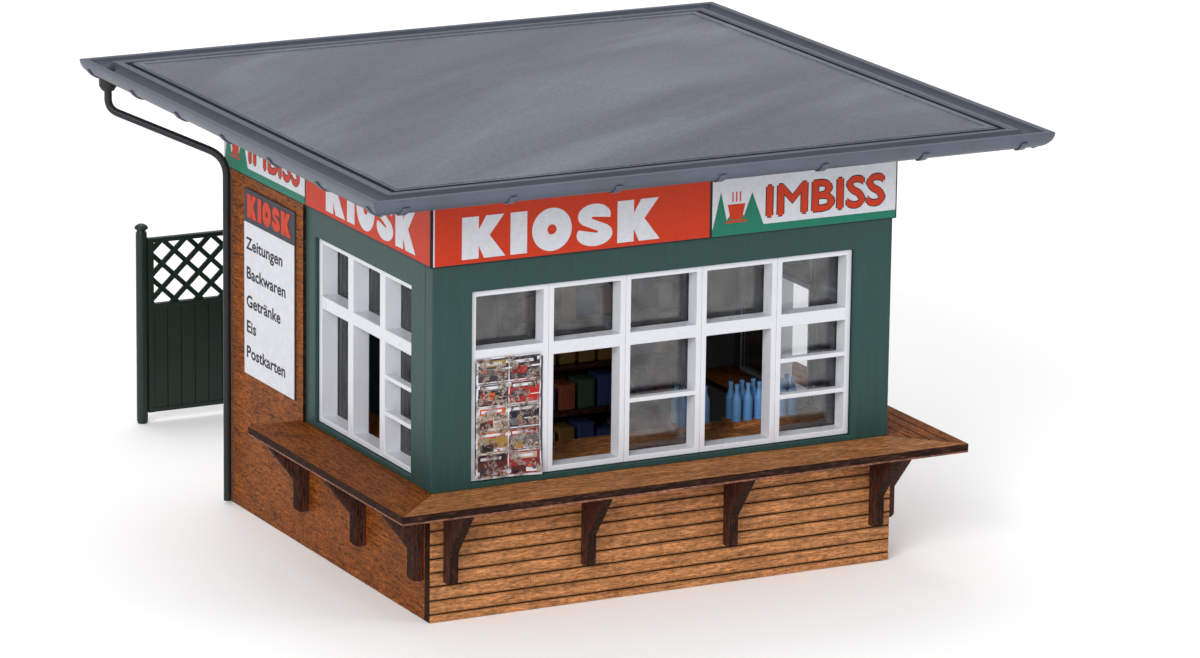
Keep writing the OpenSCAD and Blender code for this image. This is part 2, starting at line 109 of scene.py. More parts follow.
class KioskTimberSettings(bpy.types.PropertyGroup):
    """Stained and laser-cut timber"""

    front_colour: colour("Front", "Stain of the front boards", (181, 123, 77))
    side_colour: colour("Sides", "Stain of the side boards", (127, 67, 18))
    counter_colour: colour("Counter", "Stain of the counter", (172, 113, 66))
    bracket_colour: colour("Brackets", "Stain of the brackets", (70, 40, 31))
    burnt_colour: colour("Cut edges", "Burnt brown of the cut edges", (40, 23, 16))
    ply_colour: colour("Plies", "Pale ply in a cut edge", (128, 84, 68))
    board_pitch: length("Board height", "From one engraved joint to the next", 1.37)
    first_joint: length("First joint", "Height of the lowest engraved joint", 0.83)
    joint_width: length("Joint width", "Width of an engraved joint", 0.14)
    joint_depth: length("Joint depth", "Depth of an engraved joint", 0.14)
    edge: length("Edge", "Rounding of the boards' edges", 0.06)


class KioskFinishSettings(bpy.types.PropertyGroup):
    """Paint, plastic and print"""

    panel_green: colour("Panels", "Green paint round the windows", (39, 69, 65))
    window_white: colour("Windows", "White of the window frames", (212, 214, 220))
    sign_red: colour("Sign red", "Red of the printed signs", (193, 53, 20))
    sign_white: colour("Sign white", "White of the printed signs", (208, 209, 216))
    sign_green: colour("Sign green", "Green of the printed signs", (30, 116, 92))
    ink: colour("Ink", "Dark printing ink", (34, 36, 42))
    roof_grey: colour("Roof", "Slate grey of the roof", (92, 97, 108))
    gutter_grey: colour("Gutter", "Slate grey of the gutter", (78, 84, 98))
    pipe_grey: colour("Pipe", "Dark grey of the downpipe", (31, 33, 36))
    screen_green: colour("Screen", "Dark green of the privacy screen", (18, 36, 28))
    lining_grey: colour("Lining", "Grey of the walls inside", (110, 108, 110))
    shelf_brown: colour("Shelves", "Dark wood of the shelves", (92, 56, 44))
    bottle_blue: colour("Bottles", "Blue of the bottles", (104, 158, 214))
    soft_edge: length("Soft edge", "Rounding of moulded and painted edges", 0.09)


class KioskStageSettings(bpy.types.PropertyGroup):
    """Camera, light and floor"""

    camera_at: FloatVectorProperty(
        name="Camera", description="Where the camera stands", size=3,
        default=(-0.262997, -0.515347, 0.169623), subtype="TRANSLATION", unit="LENGTH",
    )
    heading: FloatProperty(
        name="Heading", description="Turn of the view from straight ahead",
        default=math.radians(27.489), subtype="ANGLE", unit="ROTATION",
    )
    dip: FloatProperty(
        name="Dip", description="How far the view looks down",
        default=math.radians(14.448), subtype="ANGLE", unit="ROTATION",
    )
    roll: FloatProperty(
        name="Roll", description="Roll of the camera about its view",
        default=math.radians(0.734), subtype="ANGLE", unit="ROTATION",
    )
    lens: FloatProperty(
        name="Lens", description="Focal length on a 36 mm sensor, in millimetres",
        default=181.278, min=1.0,
    )
    floor_size: FloatProperty(
        name="Floor", description="Side of the square floor",
        default=6.0, min=0.5, unit="LENGTH",
    )
    key_power: FloatProperty(
        name="Key light", description="Power of the large light at the front left",
        default=11.0, min=0.0, unit="POWER",
    )
    fill_power: FloatProperty(
        name="Fill light", description="Power of the light at the front right",
        default=2.6, min=0.0, unit="POWER",
    )
    top_power: FloatProperty(
        name="Top light", description="Power of the light above the roof",
        default=4.5, min=0.0, unit="POWER",
    )
    world_strength: FloatProperty(
        name="Surroundings", description="Brightness of the white surroundings",
        default=0.68, min=0.0,
    )
    seed: IntProperty(
        name="Seed", description="Seed of the random choices", default=7, min=0,
    )


def timber(context):
    return context.scene.kiosk_timber


def finish(context):
    return context.scene.kiosk_finish


def stage(context):
    return context.scene.kiosk_stage


# ---------- material building ----------


class Shade:
    """A material being built: its node tree, its shader and its coordinates, which
    are in millimetres on the object."""

    def __init__(self, name, roughness, specular=0.5):
        self.material = bpy.data.materials.new(name)
        self.material.use_nodes = True
        self.tree = self.material.node_tree
        self.shader = self.tree.nodes["Principled BSDF"]
        self.shader.inputs["Roughness"].default_value = roughness
        self.shader.inputs["Specular IOR Level"].default_value = specular
        place = self.tree.nodes.new("ShaderNodeTexCoord")
        self.point = self.stretched(place.outputs["Object"], (1 / MM,) * 3)

    def stretched(self, vector, scale, turn=(0, 0, 0)):
        node = self.tree.nodes.new("ShaderNodeMapping")
        node.inputs["Scale"].default_value = scale
        node.inputs["Rotation"].default_value = turn
        self.tree.links.new(vector, node.inputs["Vector"])
        return node.outputs["Vector"]

    def noise(self, scale, detail=3.0, roughness=0.55, distortion=0.0):
        """Noise whose scale is given per axis, in cells per millimetre."""
        node = self.tree.nodes.new("ShaderNodeTexNoise")
        node.inputs["Scale"].default_value = 1.0
        node.inputs["Detail"].default_value = detail
        node.inputs["Roughness"].default_value = roughness
        node.inputs["Distortion"].default_value = distortion
        self.tree.links.new(self.stretched(self.point, scale), node.inputs["Vector"])
        return node.outputs["Fac"]

    def ramp(self, value, stops):
        """Colours or greys along a value: stops are (place, colour or grey)."""
        node = self.tree.nodes.new("ShaderNodeValToRGB")
        points = node.color_ramp.elements
        while len(points) < len(stops):
            points.new(0.5)
        for point, (place, shade) in zip(points, stops):
            point.position = place
            shade = (shade,) * 3 if isinstance(shade, (int, float)) else tuple(shade)
            point.color = (*shade, 1.0)
        self.tree.links.new(value, node.inputs["Fac"])
        return node.outputs["Color"]

    def mixed(self, factor, first, second, mode="MIX"):
        node = self.tree.nodes.new("ShaderNodeMix")
        node.data_type = "RGBA"
        node.blend_type = mode
        self.feed(node.inputs[0], factor)
        self.feed(node.inputs[6], first)
        self.feed(node.inputs[7], second)
        return node.outputs[2]

    def feed(self, socket, value):
        if isinstance(value, bpy.types.NodeSocket):
            self.tree.links.new(value, socket)
        elif isinstance(value, (int, float)):
            socket.default_value = value
        else:
            socket.default_value = (*value, 1.0)

    def sum(self, operation, first, second=0.0):
        node = self.tree.nodes.new("ShaderNodeMath")
        node.operation = operation
        self.feed(node.inputs[0], first)
        self.feed(node.inputs[1], second)
        return node.outputs[0]

    def axis(self, index):
        """One coordinate, in millimetres."""
        node = self.tree.nodes.new("ShaderNodeSeparateXYZ")
        self.tree.links.new(self.point, node.inputs[0])
        return node.outputs[index]

    def colour(self, value):
        self.feed(self.shader.inputs["Base Color"], value)

    def roughness(self, value):
        self.feed(self.shader.inputs["Roughness"], value)

    def bump(self, height, depth):
        """Relief: depth in millimetres is the height of a full swing."""
        node = self.tree.nodes.new("ShaderNodeBump")
        node.inputs["Distance"].default_value = depth * MM
        self.tree.links.new(height, node.inputs["Height"])
        self.tree.links.new(node.outputs["Normal"], self.shader.inputs["Normal"])


def shaded(colour_value, factor):
    return tuple(min(channel * factor, 1.0) for channel in colour_value)


def grain_scale(along, fine, slow):
    """Cells per millimetre of a grain: slow along one axis, fine across it."""
    scale = [fine] * 3
    scale[along] = slow
    return tuple(scale)


def stained_wood(name, base, along, dashes=0.5, joints=None, contrast=1.0):
    """Stained plywood with its grain along an axis. Dashes are the dark pores, and
    joints gives the first and the pitch of engraved joints on Z."""
    wood = Shade(name, 0.62, 0.16)

    def swing(value):
        return 1 + (value - 1) * contrast

    streaks = wood.noise(grain_scale(along, 3.0, 0.32), detail=6, roughness=0.75)
    body = wood.ramp(streaks, [
        (0.34, shaded(base, swing(0.42))), (0.46, shaded(base, swing(0.84))),
        (0.55, shaded(base, swing(1.12))), (0.66, shaded(base, swing(1.65))),
    ])
    patches = wood.ramp(
        wood.noise((0.3, 0.3, 0.3), detail=4), [(0.3, 0.84), (0.7, 1.14)],
    )
    body = wood.mixed(1.0, body, patches, "MULTIPLY")
    fibres = wood.ramp(
        wood.noise(grain_scale(along, 6.0, 1.5), detail=3, roughness=0.75),
        [(0.38, swing(0.45)), (0.50, 1.0), (0.63, swing(1.45))],
    )
    body = wood.mixed(0.9, body, fibres, "MULTIPLY")
    pores = wood.noise(grain_scale(along, 5.5, 0.8), detail=1, roughness=0.4)
    pore_mask = wood.ramp(pores, [(0.30, 1.0), (0.38, 0.0)])
    body = wood.mixed(
        wood.sum("MULTIPLY", pore_mask, dashes), body, shaded(base, 0.2)
    )
    speckle = wood.ramp(
        wood.noise((6.0, 6.0, 6.0), detail=3), [(0.60, 0.0), (0.72, 1.0)],
    )
    body = wood.mixed(wood.sum("MULTIPLY", speckle, 0.35), body, shaded(base, 1.9))
    if joints:
        body = joint_soot(wood, body, base, *joints)
    wood.colour(body)
    wood.roughness(wood.ramp(fibres, [(0.0, 0.74), (1.0, 0.56)]))
    wood.bump(wood.mixed(0.5, streaks, fibres), 0.03)
    return wood.material


def joint_soot(wood, body, base, first, pitch):
    """Darkens the wood beside engraved joints, and rules the faint upright lines
    that the engraver leaves."""
    height = wood.sum("SUBTRACT", wood.axis(Z), first)
    away = wood.sum("PINGPONG", height, pitch / 2)
    rough_away = wood.sum(
        "ADD", away, wood.sum("MULTIPLY", wood.noise((3.5, 3.5, 5.0), detail=2), -0.26)
    )
    soot = wood.ramp(rough_away, [(0.0, 0.55), (0.10, 0.0)])
    body = wood.mixed(soot, body, shaded(base, 0.25))
    ruled = wood.sum("PINGPONG", wood.axis(X), 0.13)
    ruled = wood.ramp(wood.sum("MULTIPLY", ruled, 7.7), [(0.2, 0.84), (0.75, 1.0)])
    return wood.mixed(0.75, body, ruled, "MULTIPLY")


def burnt_edge(name, base, along):
    """A laser-cut edge: burnt nearly black, with browner streaks along an axis."""
    edge = Shade(name, 0.75, 0.1)
    streaks = edge.noise(grain_scale(along, 5.0, 0.9), detail=5, roughness=0.7)
    edge.colour(edge.ramp(streaks, [
        (0.36, shaded(base, 0.5)), (0.52, base), (0.62, shaded(base, 2.6)),
        (0.72, shaded(base, 6.0)),
    ]))
    edge.bump(streaks, 0.04)
    return edge.material


def moulded(name, base, roughness, mottle=0.08, grain=0.006, wear=1.0, specular=0.4):
    """Moulded plastic or satin paint: slight cloudiness and a fine skin."""
    shade = Shade(name, roughness, specular)
    clouds = shade.noise((0.16, 0.16, 0.16), detail=3, roughness=0.6)
    cloudy = shade.ramp(clouds, [
        (0.32, shaded(base, 1 - mottle)), (0.68, shaded(base, 1 + mottle)),
    ])
    specks = shade.ramp(shade.noise((3.2, 3.2, 3.2), detail=4, roughness=0.7), [
        (0.36, 0.93), (0.55, 1.0), (0.74, 1.06),
    ])
    shade.colour(shade.mixed(wear, cloudy, specks, "MULTIPLY"))
    shade.roughness(shade.ramp(
        clouds, [(0.3, roughness - 0.05), (0.7, roughness + 0.09)],
    ))
    shade.bump(shade.noise((6.0, 6.0, 6.0), detail=3), grain)
    return shade.material


def slate_roof(name, base, hip_highlight_shift):
    """Satin roof moulding: broad slanting clouds, a painted reflection, under a fine
    pale grain, and the four hips a little paler as a painted highlight. The shift moves
    the painted highlight of the hips outwards along X."""
    slate = Shade(name, 0.4, 0.45)
    turned = slate.stretched(slate.point, (1, 1, 1), (0, 0, math.radians(-32)))
    straight, slate.point = slate.point, turned
    clouds = slate.noise((0.018, 0.075, 0.05), detail=4, roughness=0.55, distortion=0.6)
    slate.point = straight
    # Painted reflection: the broad slanting clouds make the colour lighter and darker
    # in soft patches
    body = slate.ramp(clouds, [
        (0.32, shaded(base, 0.78)), (0.48, shaded(base, 0.96)),
        (0.66, shaded(base, 1.36)),
    ])
    # Painted highlight: the colour is a little paler along the four hips
    off_hip = slate.sum(
        "SUBTRACT",
        slate.sum("ABSOLUTE", slate.axis(X)),
        slate.sum("ADD", slate.sum("ABSOLUTE", slate.axis(Y)), hip_highlight_shift),
    )
    hip = slate.ramp(slate.sum("ABSOLUTE", off_hip), [(0.0, 1.1), (1.0, 1.0)])
    body = slate.mixed(1.0, body, hip, "MULTIPLY")
    grain = slate.ramp(slate.noise((3.0, 3.0, 3.0), detail=4, roughness=0.75), [
        (0.38, 0.76), (0.52, 1.0), (0.68, 1.32),
    ])
    slate.colour(slate.mixed(1.0, body, grain, "MULTIPLY"))
    slate.roughness(slate.ramp(clouds, [(0.3, 0.46), (0.7, 0.30)]))
    slate.bump(slate.mixed(0.25, clouds, slate.noise((2.5, 2.5, 2.5), detail=3)), 0.05)
    return slate.material


def brushed_paint(name, base, along):
    """Satin paint with faint roller streaks along an axis."""
    paint = Shade(name, 0.45, 0.25)
    streaks = paint.noise(grain_scale(along, 1.4, 0.12), detail=4, roughness=0.6)
    body = paint.ramp(streaks, [
        (0.30, shaded(base, 0.88)), (0.55, base), (0.75, shaded(base, 1.14)),
    ])
    specks = paint.ramp(
        paint.noise((4.0, 4.0, 4.0), detail=3), [(0.4, 0.94), (0.62, 1.05)],
    )
    paint.colour(paint.mixed(1.0, body, specks, "MULTIPLY"))
    paint.roughness(paint.ramp(streaks, [(0.3, 0.38), (0.7, 0.5)]))
    paint.bump(streaks, 0.012)
    return paint.material


def printed(name, roughness=0.45, pictures=False):
    """Printed board or paper: the colour is painted on the faces, with the slight
    unevenness of the ink. Pictures breaks the colour up into busy small patches."""
    ink = Shade(name, roughness, 0.2)
    painted = ink.tree.nodes.new("ShaderNodeVertexColor")
    painted.layer_name = "Tint"
    uneven = ink.ramp(
        ink.noise((1.6, 1.6, 1.6), detail=4, roughness=0.65),
        [(0.35, 0.93), (0.65, 1.04)],
    )
    body = ink.mixed(1.0, painted.outputs["Color"], uneven, "MULTIPLY")
    if pictures:
        shapes = ink.ramp(
            ink.noise((1.5, 1.5, 1.5), detail=6, roughness=0.7, distortion=1.2), [
                (0.36, srgb(22, 18, 22)), (0.44, srgb(96, 40, 32)),
                (0.48, srgb(60, 50, 54)), (0.53, srgb(190, 176, 164)),
                (0.58, srgb(36, 32, 40)), (0.66, srgb(206, 198, 190)),
            ],
        )
        where = ink.ramp(
            ink.noise((0.9, 0.9, 0.9), detail=2), [(0.44, 0.0), (0.54, 0.8)],
        )
        body = ink.mixed(where, body, shapes)
    ink.colour(body)
    ink.roughness(ink.ramp(
        uneven, [(0.9, roughness - 0.04), (1.0, roughness + 0.06)],
    ))
    ink.bump(ink.noise((5.0, 5.0, 5.0), detail=2), 0.004)
    return ink.material


def clear_film(name):
    """Clear glazing film: it lets the light through and mirrors a little of it."""
    film = Shade(name, 0.05)
    tree = film.tree
    tree.nodes.remove(film.shader)
    through = tree.nodes.new("ShaderNodeBsdfTransparent")
    through.inputs["Color"].default_value = (0.86, 0.87, 0.88, 1.0)
    gloss = tree.nodes.new("ShaderNodeBsdfGlossy")
    gloss.inputs["Roughness"].default_value = 0.08
    edge_on = tree.nodes.new("ShaderNodeFresnel")
    edge_on.inputs["IOR"].default_value = 1.5
    dust = film.ramp(film.noise((0.5, 0.5, 0.5), detail=4), [(0.3, 0.0), (0.75, 0.06)])
    share = film.sum("ADD", edge_on.outputs[0], dust)
    both = tree.nodes.new("ShaderNodeMixShader")
    tree.links.new(share, both.inputs["Fac"])
    tree.links.new(through.outputs[0], both.inputs[1])
    tree.links.new(gloss.outputs[0], both.inputs[2])
    output = next(n for n in tree.nodes if n.type == "OUTPUT_MATERIAL")
    tree.links.new(both.outputs[0], output.inputs["Surface"])
    return film.material


MATERIALS = {}


def material(context, name):
    """The material of that name, made when it is first asked for."""
    if name not in MATERIALS:
        wood, paint = timber(context), finish(context)
        makers = {
            "front boards": lambda: stained_wood(
                name, wood.front_colour, X, 0.35,
                (wood.first_joint / MM, wood.board_pitch / MM), 0.8,
            ),
            "side boards": lambda: stained_wood(name, wood.side_colour, Y, 0.9),
            "back boards": lambda: stained_wood(name, wood.side_colour, X, 0.9),
            "counter front": lambda: stained_wood(name, wood.counter_colour, X, 0.4),
            "counter side": lambda: stained_wood(
                name, shaded(wood.side_colour, 1.12), Y, 0.4
            ),
            "bracket face": lambda: stained_wood(name, wood.bracket_colour, Z, 0.8),
            "burnt edge": lambda: burnt_edge(name, wood.burnt_colour, X),
            "burnt joint": lambda: burnt_edge(name, shaded(wood.front_colour, 0.07), X),
            "burnt bracket": lambda: burnt_edge(name, wood.burnt_colour, Z),
            "ply edge": lambda: stained_wood(name, wood.ply_colour, X, 0.9),
            "shelf wood": lambda: stained_wood(name, paint.shelf_brown, X, 0.3),
            "lining": lambda: moulded(name, paint.lining_grey, 0.8, 0.1),
            "floor card": lambda: moulded(
                name, shaded(paint.lining_grey, 0.7), 0.85, 0.15
            ),
            "front green": lambda: brushed_paint(name, paint.panel_green, Z),
            "window white": lambda: moulded(
                name, paint.window_white, 0.3, 0.02, 0.003, 0.4
            ),
            "roof slate": lambda: slate_roof(name, paint.roof_grey, HIP_HIGHLIGHT_SHIFT),
            "gutter slate": lambda: moulded(name, paint.gutter_grey, 0.4, 0.12, 0.006),
            # Painted shade: darker slate for the faces down in the gutter's channel and
            # the roof's groove
            "channel slate painted shade": lambda: moulded(
                name, shaded(paint.gutter_grey, 0.72), 0.5, 0.1, 0.006, 1.0, 0.3
            ),
            "groove slate painted shade": lambda: moulded(
                name, shaded(paint.gutter_grey, 0.4), 0.6, 0.1, 0.006, 1.0, 0.3
            ),
            "pipe grey": lambda: moulded(
                name, paint.pipe_grey, 0.4, 0.1, 0.006, 1.0, 0.3
            ),
            "screen green": lambda: moulded(
                name, paint.screen_green, 0.38, 0.12, 0.006
            ),
            "door green": lambda: brushed_paint(
                name, shaded(paint.panel_green, 1.2), Z
            ),
            "door metal": lambda: moulded(name, (0.5, 0.5, 0.5), 0.3, 0.05),
            "bottle blue": lambda: moulded(name, paint.bottle_blue, 0.3, 0.1),
            "print": lambda: printed(name),
            "covers": lambda: printed(name, 0.4, True),
            "film": lambda: clear_film(name),
        }
        MATERIALS[name] = makers[name]()
    return MATERIALS[name]


# ---------- shape building ----------


def cad_box(node):
    """The lowest and highest corner of a CAD node, in millimetres."""
    low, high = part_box(node)
    return low / MM, high / MM


def add_box(bm, low, high):
    """Adds a box between two corners and returns its points."""
    low, high = Vector(low), Vector(high)
    points = bmesh.ops.create_cube(bm, size=1.0)["verts"]
    bmesh.ops.scale(bm, vec=high - low, verts=points)
    bmesh.ops.translate(bm, vec=(low + high) / 2, verts=points)
    return points


def faces_of(points):
    return list(dict.fromkeys(face for point in points for face in point.link_faces))


def edges_of(points):
    return list(dict.fromkeys(edge for point in points for edge in point.link_edges))


def round_edges(bm, width, segments=2, angle=30.0, edges=None):
    """Rounds the edges that are sharper than an angle."""
    limit = math.radians(angle)
    sharp = [
        edge for edge in (edges if edges is not None else bm.edges)
        if edge.is_manifold and edge.calc_face_angle(0.0) > limit
    ]
    bmesh.ops.bevel(
        bm, geom=sharp, offset=width, offset_type="OFFSET", affect="EDGES",
        segments=segments, profile=0.5, material=-1, clamp_overlap=True,
    )


def add_outline(bm, points, run):
    """Adds the solid that an outline makes when it is pushed along run."""
    base = [bm.verts.new(point) for point in points]
    face = bm.faces.new(base)
    pushed = bmesh.ops.extrude_face_region(bm, geom=[face])["geom"]
    moved = [item for item in pushed if isinstance(item, bmesh.types.BMVert)]
    bmesh.ops.translate(bm, vec=run, verts=moved)
    points_made = base + moved
    bmesh.ops.recalc_face_normals(bm, faces=faces_of(points_made))
    return points_made


def cad_copy(node):
    """A CAD node's shape in millimetres, with its flat faces made whole again."""
    bm = bmesh.new()
    bm.from_mesh(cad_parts[node].data)
    bmesh.ops.scale(bm, vec=(1 / MM,) * 3, verts=bm.verts)
    bmesh.ops.remove_doubles(bm, verts=bm.verts, dist=0.002)
    bmesh.ops.dissolve_limit(
        bm, angle_limit=math.radians(0.8), verts=bm.verts, edges=bm.edges,
    )
    return bm


def carve(bm, boxes, index):
    """Cuts boxes out of a shape. The cut faces get the material index."""
    objects = []
    for name in ("carved", "cutter"):
        mesh = bpy.data.meshes.new(name)
        objects.append(bpy.data.objects.new(name, mesh))
        bpy.context.scene.collection.objects.link(objects[-1])
    carved, cutter = objects
    bm.to_mesh(carved.data)
    bm.free()
    tools = bmesh.new()
    for low, high in boxes:
        add_box(tools, low, high)
    for face in tools.faces:
        face.material_index = index
    tools.to_mesh(cutter.data)
    tools.free()
    cut = carved.modifiers.new("cut", "BOOLEAN")
    cut.object = cutter
    cut.operation = "DIFFERENCE"
    cut.solver = "EXACT"
    cut.material_mode = "INDEX"
    graph = bpy.context.evaluated_depsgraph_get()
    result = bmesh.new()
    result.from_mesh(carved.evaluated_get(graph).to_mesh())
    for item in objects:
        mesh = item.data
        bpy.data.objects.remove(item)
        bpy.data.meshes.remove(mesh)
    return result


def burn_edges(bm, thin, index=1):
    """Gives a board's cut edges, all that isn't its broad faces, a material."""
    for face in bm.faces:
        if abs(face.normal[thin]) < 0.9:
            face.material_index = index


def line_inside(bm, axis, towards, index=2):
    """Gives a board's inner face a material of its own."""
    for face in bm.faces:
        if face.normal[axis] * towards > 0.9:
            face.material_index = index


def tint(bm, faces, shade):
    """Paints faces with a printing colour."""
    layers = bm.loops.layers.float_color
    layer = layers.get("Tint") or layers.new("Tint")
    for face in faces:
        for loop in face.loops:
            loop[layer] = (*shade, 1.0)


def make_piece(context, bm, name, materials, replaces=(), smooth=35.0):
    """Makes the finished piece: in metres, at the origin, riding on the frame."""
    bmesh.ops.scale(bm, vec=(MM,) * 3, verts=bm.verts)
    mesh = bpy.data.meshes.new(name)
    bm.to_mesh(mesh)
    bm.free()
    for item in materials:
        mesh.materials.append(material(context, item))
    mesh.shade_smooth()
    mesh.set_sharp_from_angle(angle=math.radians(smooth))
    piece = bpy.data.objects.new(name, mesh)
    context.scene.collection.objects.link(piece)
    weighted = piece.modifiers.new("even shading", "WEIGHTED_NORMAL")
    weighted.keep_sharp = True
    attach(piece, BODY)
    if replaces:
        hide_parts(*replaces)
    return piece


def rounded_copy(context, node, materials, width, smooth=35.0, thin=None,
                 inside=None, segments=2):
    """A CAD node with rounded edges. A board's thin axis marks its cut edges, and
    inside is the axis and direction of its lined face."""
    bm = cad_copy(node)
    round_edges(bm, width, segments)
    if thin is not None:
        burn_edges(bm, thin)
    if inside is not None:
        line_inside(bm, *inside)
    return make_piece(context, bm, f"{node}_shape", materials, (node,), smooth)


def curve_shape(curve, closest):
    """The shape that a curve or a text makes. The curve is used up, and points
    nearer to each other than closest become one."""
    holder = bpy.data.objects.new(curve.name, curve)
    bpy.context.scene.collection.objects.link(holder)
    graph = bpy.context.evaluated_depsgraph_get()
    mesh = bpy.data.meshes.new_from_object(holder.evaluated_get(graph))
    bpy.data.objects.remove(holder)
    bpy.data.curves.remove(curve)
    bm = bmesh.new()
    bm.from_mesh(mesh)
    bpy.data.meshes.remove(mesh)
    bmesh.ops.remove_doubles(bm, verts=bm.verts, dist=closest)
    return bm


def lettering(text, height, stretch, align):
    """Flat letters with a little relief, in the XY plane, standing on y = 0."""
    curve = bpy.data.curves.new("lettering", "FONT")
    curve.body = text
    curve.align_x = align
    curve.resolution_u = 3
    curve.extrude = PRINT_RELIEF / 2
    bm = curve_shape(curve, 0.0001)
    cap_height = 0.73
    size = height / cap_height
    bmesh.ops.scale(bm, vec=(size * stretch, size, 1.0), verts=bm.verts)
    return bm


def bold_word(work, text, height, stretch, spread, at, shade, align="CENTER"):
    """A word thickened by printing it five times, a little apart, each a hair
    above the last."""
    for number, (shift_x, shift_y) in enumerate(
        ((0, 0), (spread, 0), (-spread, 0), (0, spread), (0, -spread))
    ):
        word = lettering(text, height, stretch, align)
        bmesh.ops.translate(
            word, vec=(at[0] + shift_x, at[1] + shift_y, at[2] + 0.001 * number),
            verts=word.verts,
        )
        merge(work, word, shade)


# Which way a sign on each side of the hut is read, seen from outside
UPRIGHT = Matrix.Rotation(math.radians(90), 4, "X")
FACING = {
    "front": UPRIGHT,
    "left": Matrix.Rotation(math.radians(-90), 4, "Z") @ UPRIGHT,
    "right": Matrix.Rotation(math.radians(90), 4, "Z") @ UPRIGHT,
}


def place(bm, points, facing, at):
    """Turns flat work from the XY plane to face outwards, and puts it in place."""
    matrix = Matrix.Translation(at) @ FACING[facing]
    bmesh.ops.transform(bm, matrix=matrix, verts=points)


def merge(bm, other, shade=None):
    """Adds another shape to bm and returns its points there."""
    if shade is not None:
        tint(other, other.faces, shade)
    before = len(bm.verts)
    mesh = bpy.data.meshes.new("merge")
    other.to_mesh(mesh)
    other.free()
    bm.from_mesh(mesh)
    bpy.data.meshes.remove(mesh)
    bm.verts.ensure_lookup_table()
    return bm.verts[before:]


def add_block(bm, low, high, shade):
    """Adds a box in a printing colour."""
    part = bmesh.new()
    add_box(part, low, high)
    merge(bm, part, shade)


# ---------- walls and floor ----------


class KIOSK_OT_walls(bpy.types.Operator):
    """Timber walls with burnt cut edges, and the floor"""

    bl_idname = "kiosk.walls"
    bl_label = "Walls and floor"

    def execute(self, context):
        wood = timber(context)
        edge = wood.edge / MM
        rounded_copy(context, "floor_plate", ["floor card"], edge)
        for side, inward in (("left", 1), ("right", -1)):
            for node in (f"{side}_lower_wall", f"{side}_rear_wall"):
                rounded_copy(
                    context, node, ["side boards", "burnt edge", "lining"],
                    edge, thin=X, inside=(X, inward),
                )
        for node in ("back_wall_left", "back_wall_right", "back_wall_over_door"):
            rounded_copy(
                context, node, ["back boards", "burnt edge", "lining"],
                edge, thin=Y, inside=(Y, -1),
            )
        self.front_wall(context, wood, edge)
        return {"FINISHED"}

    def front_wall(self, context, wood, edge):
        """The front boards, with an engraved joint between each two."""
        low, high = cad_box("front_plank_wall")
        bm = cad_copy("front_plank_wall")
        round_edges(bm, edge)
        burn_edges(bm, Y)
        line_inside(bm, Y, 1)
        half = wood.joint_width / MM / 2
        joints = []
        height = wood.first_joint / MM
        while height < high.z - half:
            joints.append((
                (low.x - 1, low.y - 1, height - half),
                (high.x + 1, low.y + wood.joint_depth / MM, height + half),
            ))
            height += wood.board_pitch / MM
        bm = carve(bm, joints, 3)
        make_piece(
            context, bm, "front_boards",
            ["front boards", "burnt edge", "lining", "burnt joint"],
            ("front_plank_wall",), smooth=20,
        )


class KIOSK_OT_panels(bpy.types.Operator):
    """Green painted panels round the windows"""

    bl_idname = "kiosk.panels"
    bl_label = "Green panels"

    def execute(self, context):
        for side in ("front", "left", "right"):
            rounded_copy(
                context, f"{side}_green_panel", ["front green"],
                finish(context).soft_edge / MM,
            )
        return {"FINISHED"}


# ---------- windows ----------


class KIOSK_OT_windows(bpy.types.Operator):
    """White moulded window frames and their glazing"""

    bl_idname = "kiosk.windows"
    bl_label = "Windows"

    def execute(self, context):
        for side, count in (("front", 5), ("left", 3), ("right", 3)):
            for number in range(1, count + 1):
                rounded_copy(
                    context, f"{side}_window_{number}", ["window white"],
                    finish(context).soft_edge / MM,
                )
        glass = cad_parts["window_glass"]
        glass.data.materials.clear()
        glass.data.materials.append(material(context, "film"))
        return {"FINISHED"}


# ---------- counter ----------


class KIOSK_OT_counter(bpy.types.Operator):
    """Counter boards with burnt edges over one pale ply, and their brackets"""

    bl_idname = "kiosk.counter"
    bl_label = "Counter and brackets"

    def execute(self, context):
        edge = timber(context).edge / MM
        for side in ("front", "left", "right"):
            self.board(context, side, edge)
        self.brackets(context, edge)
        return {"FINISHED"}

    def board(self, context, side, edge):
        node = f"{side}_counter"
        low, high = cad_box(node)
        bm = cad_copy(node)
        round_edges(bm, edge)
        ply_top = low.z + 0.2
        bmesh.ops.bisect_plane(
            bm, geom=[*bm.verts, *bm.edges, *bm.faces],
            plane_co=(0, 0, ply_top), plane_no=(0, 0, 1),
        )
        burn_edges(bm, Z)
        for face in bm.faces:
            if face.material_index == 1 and face.calc_center_median().z < ply_top:
                face.material_index = 2
        if side == "right":
            bm = self.engrave_right(context, bm, low, high)
        top = "counter front" if side == "front" else "counter side"
        make_piece(
            context, bm, f"{side}_counter_board", [top, "burnt edge", "ply edge"],
            (node,), smooth=20,
        )

    def engrave_right(self, context, bm, low, high):
        """The right-hand board shows its board joints, along the wall."""
        wood = timber(context)
        half = wood.joint_width / MM / 2
        joints = []
        for number in range(1, 4):
            middle = high.x - number * wood.board_pitch / MM
            mitre_y = low.y + (high.x - middle)
            joints.append((
                (middle - half, mitre_y, high.z - wood.joint_depth / MM),
                (middle + half, high.y + 1, high.z + 1),
            ))
        return carve(bm, joints, 1)

    def brackets(self, context, edge):
        bm = cad_copy("counter_brackets")
        round_edges(bm, edge)
        wall_y = cad_box("front_plank_wall")[0].y
        for face in bm.faces:
            thin = X if face.calc_center_median().y < wall_y else Y
            if abs(face.normal[thin]) < 0.9:
                face.material_index = 1
        make_piece(
            context, bm, "counter_bracket_shapes", ["bracket face", "burnt bracket"],
            ("counter_brackets",),
        )


# ---------- signs and print ----------


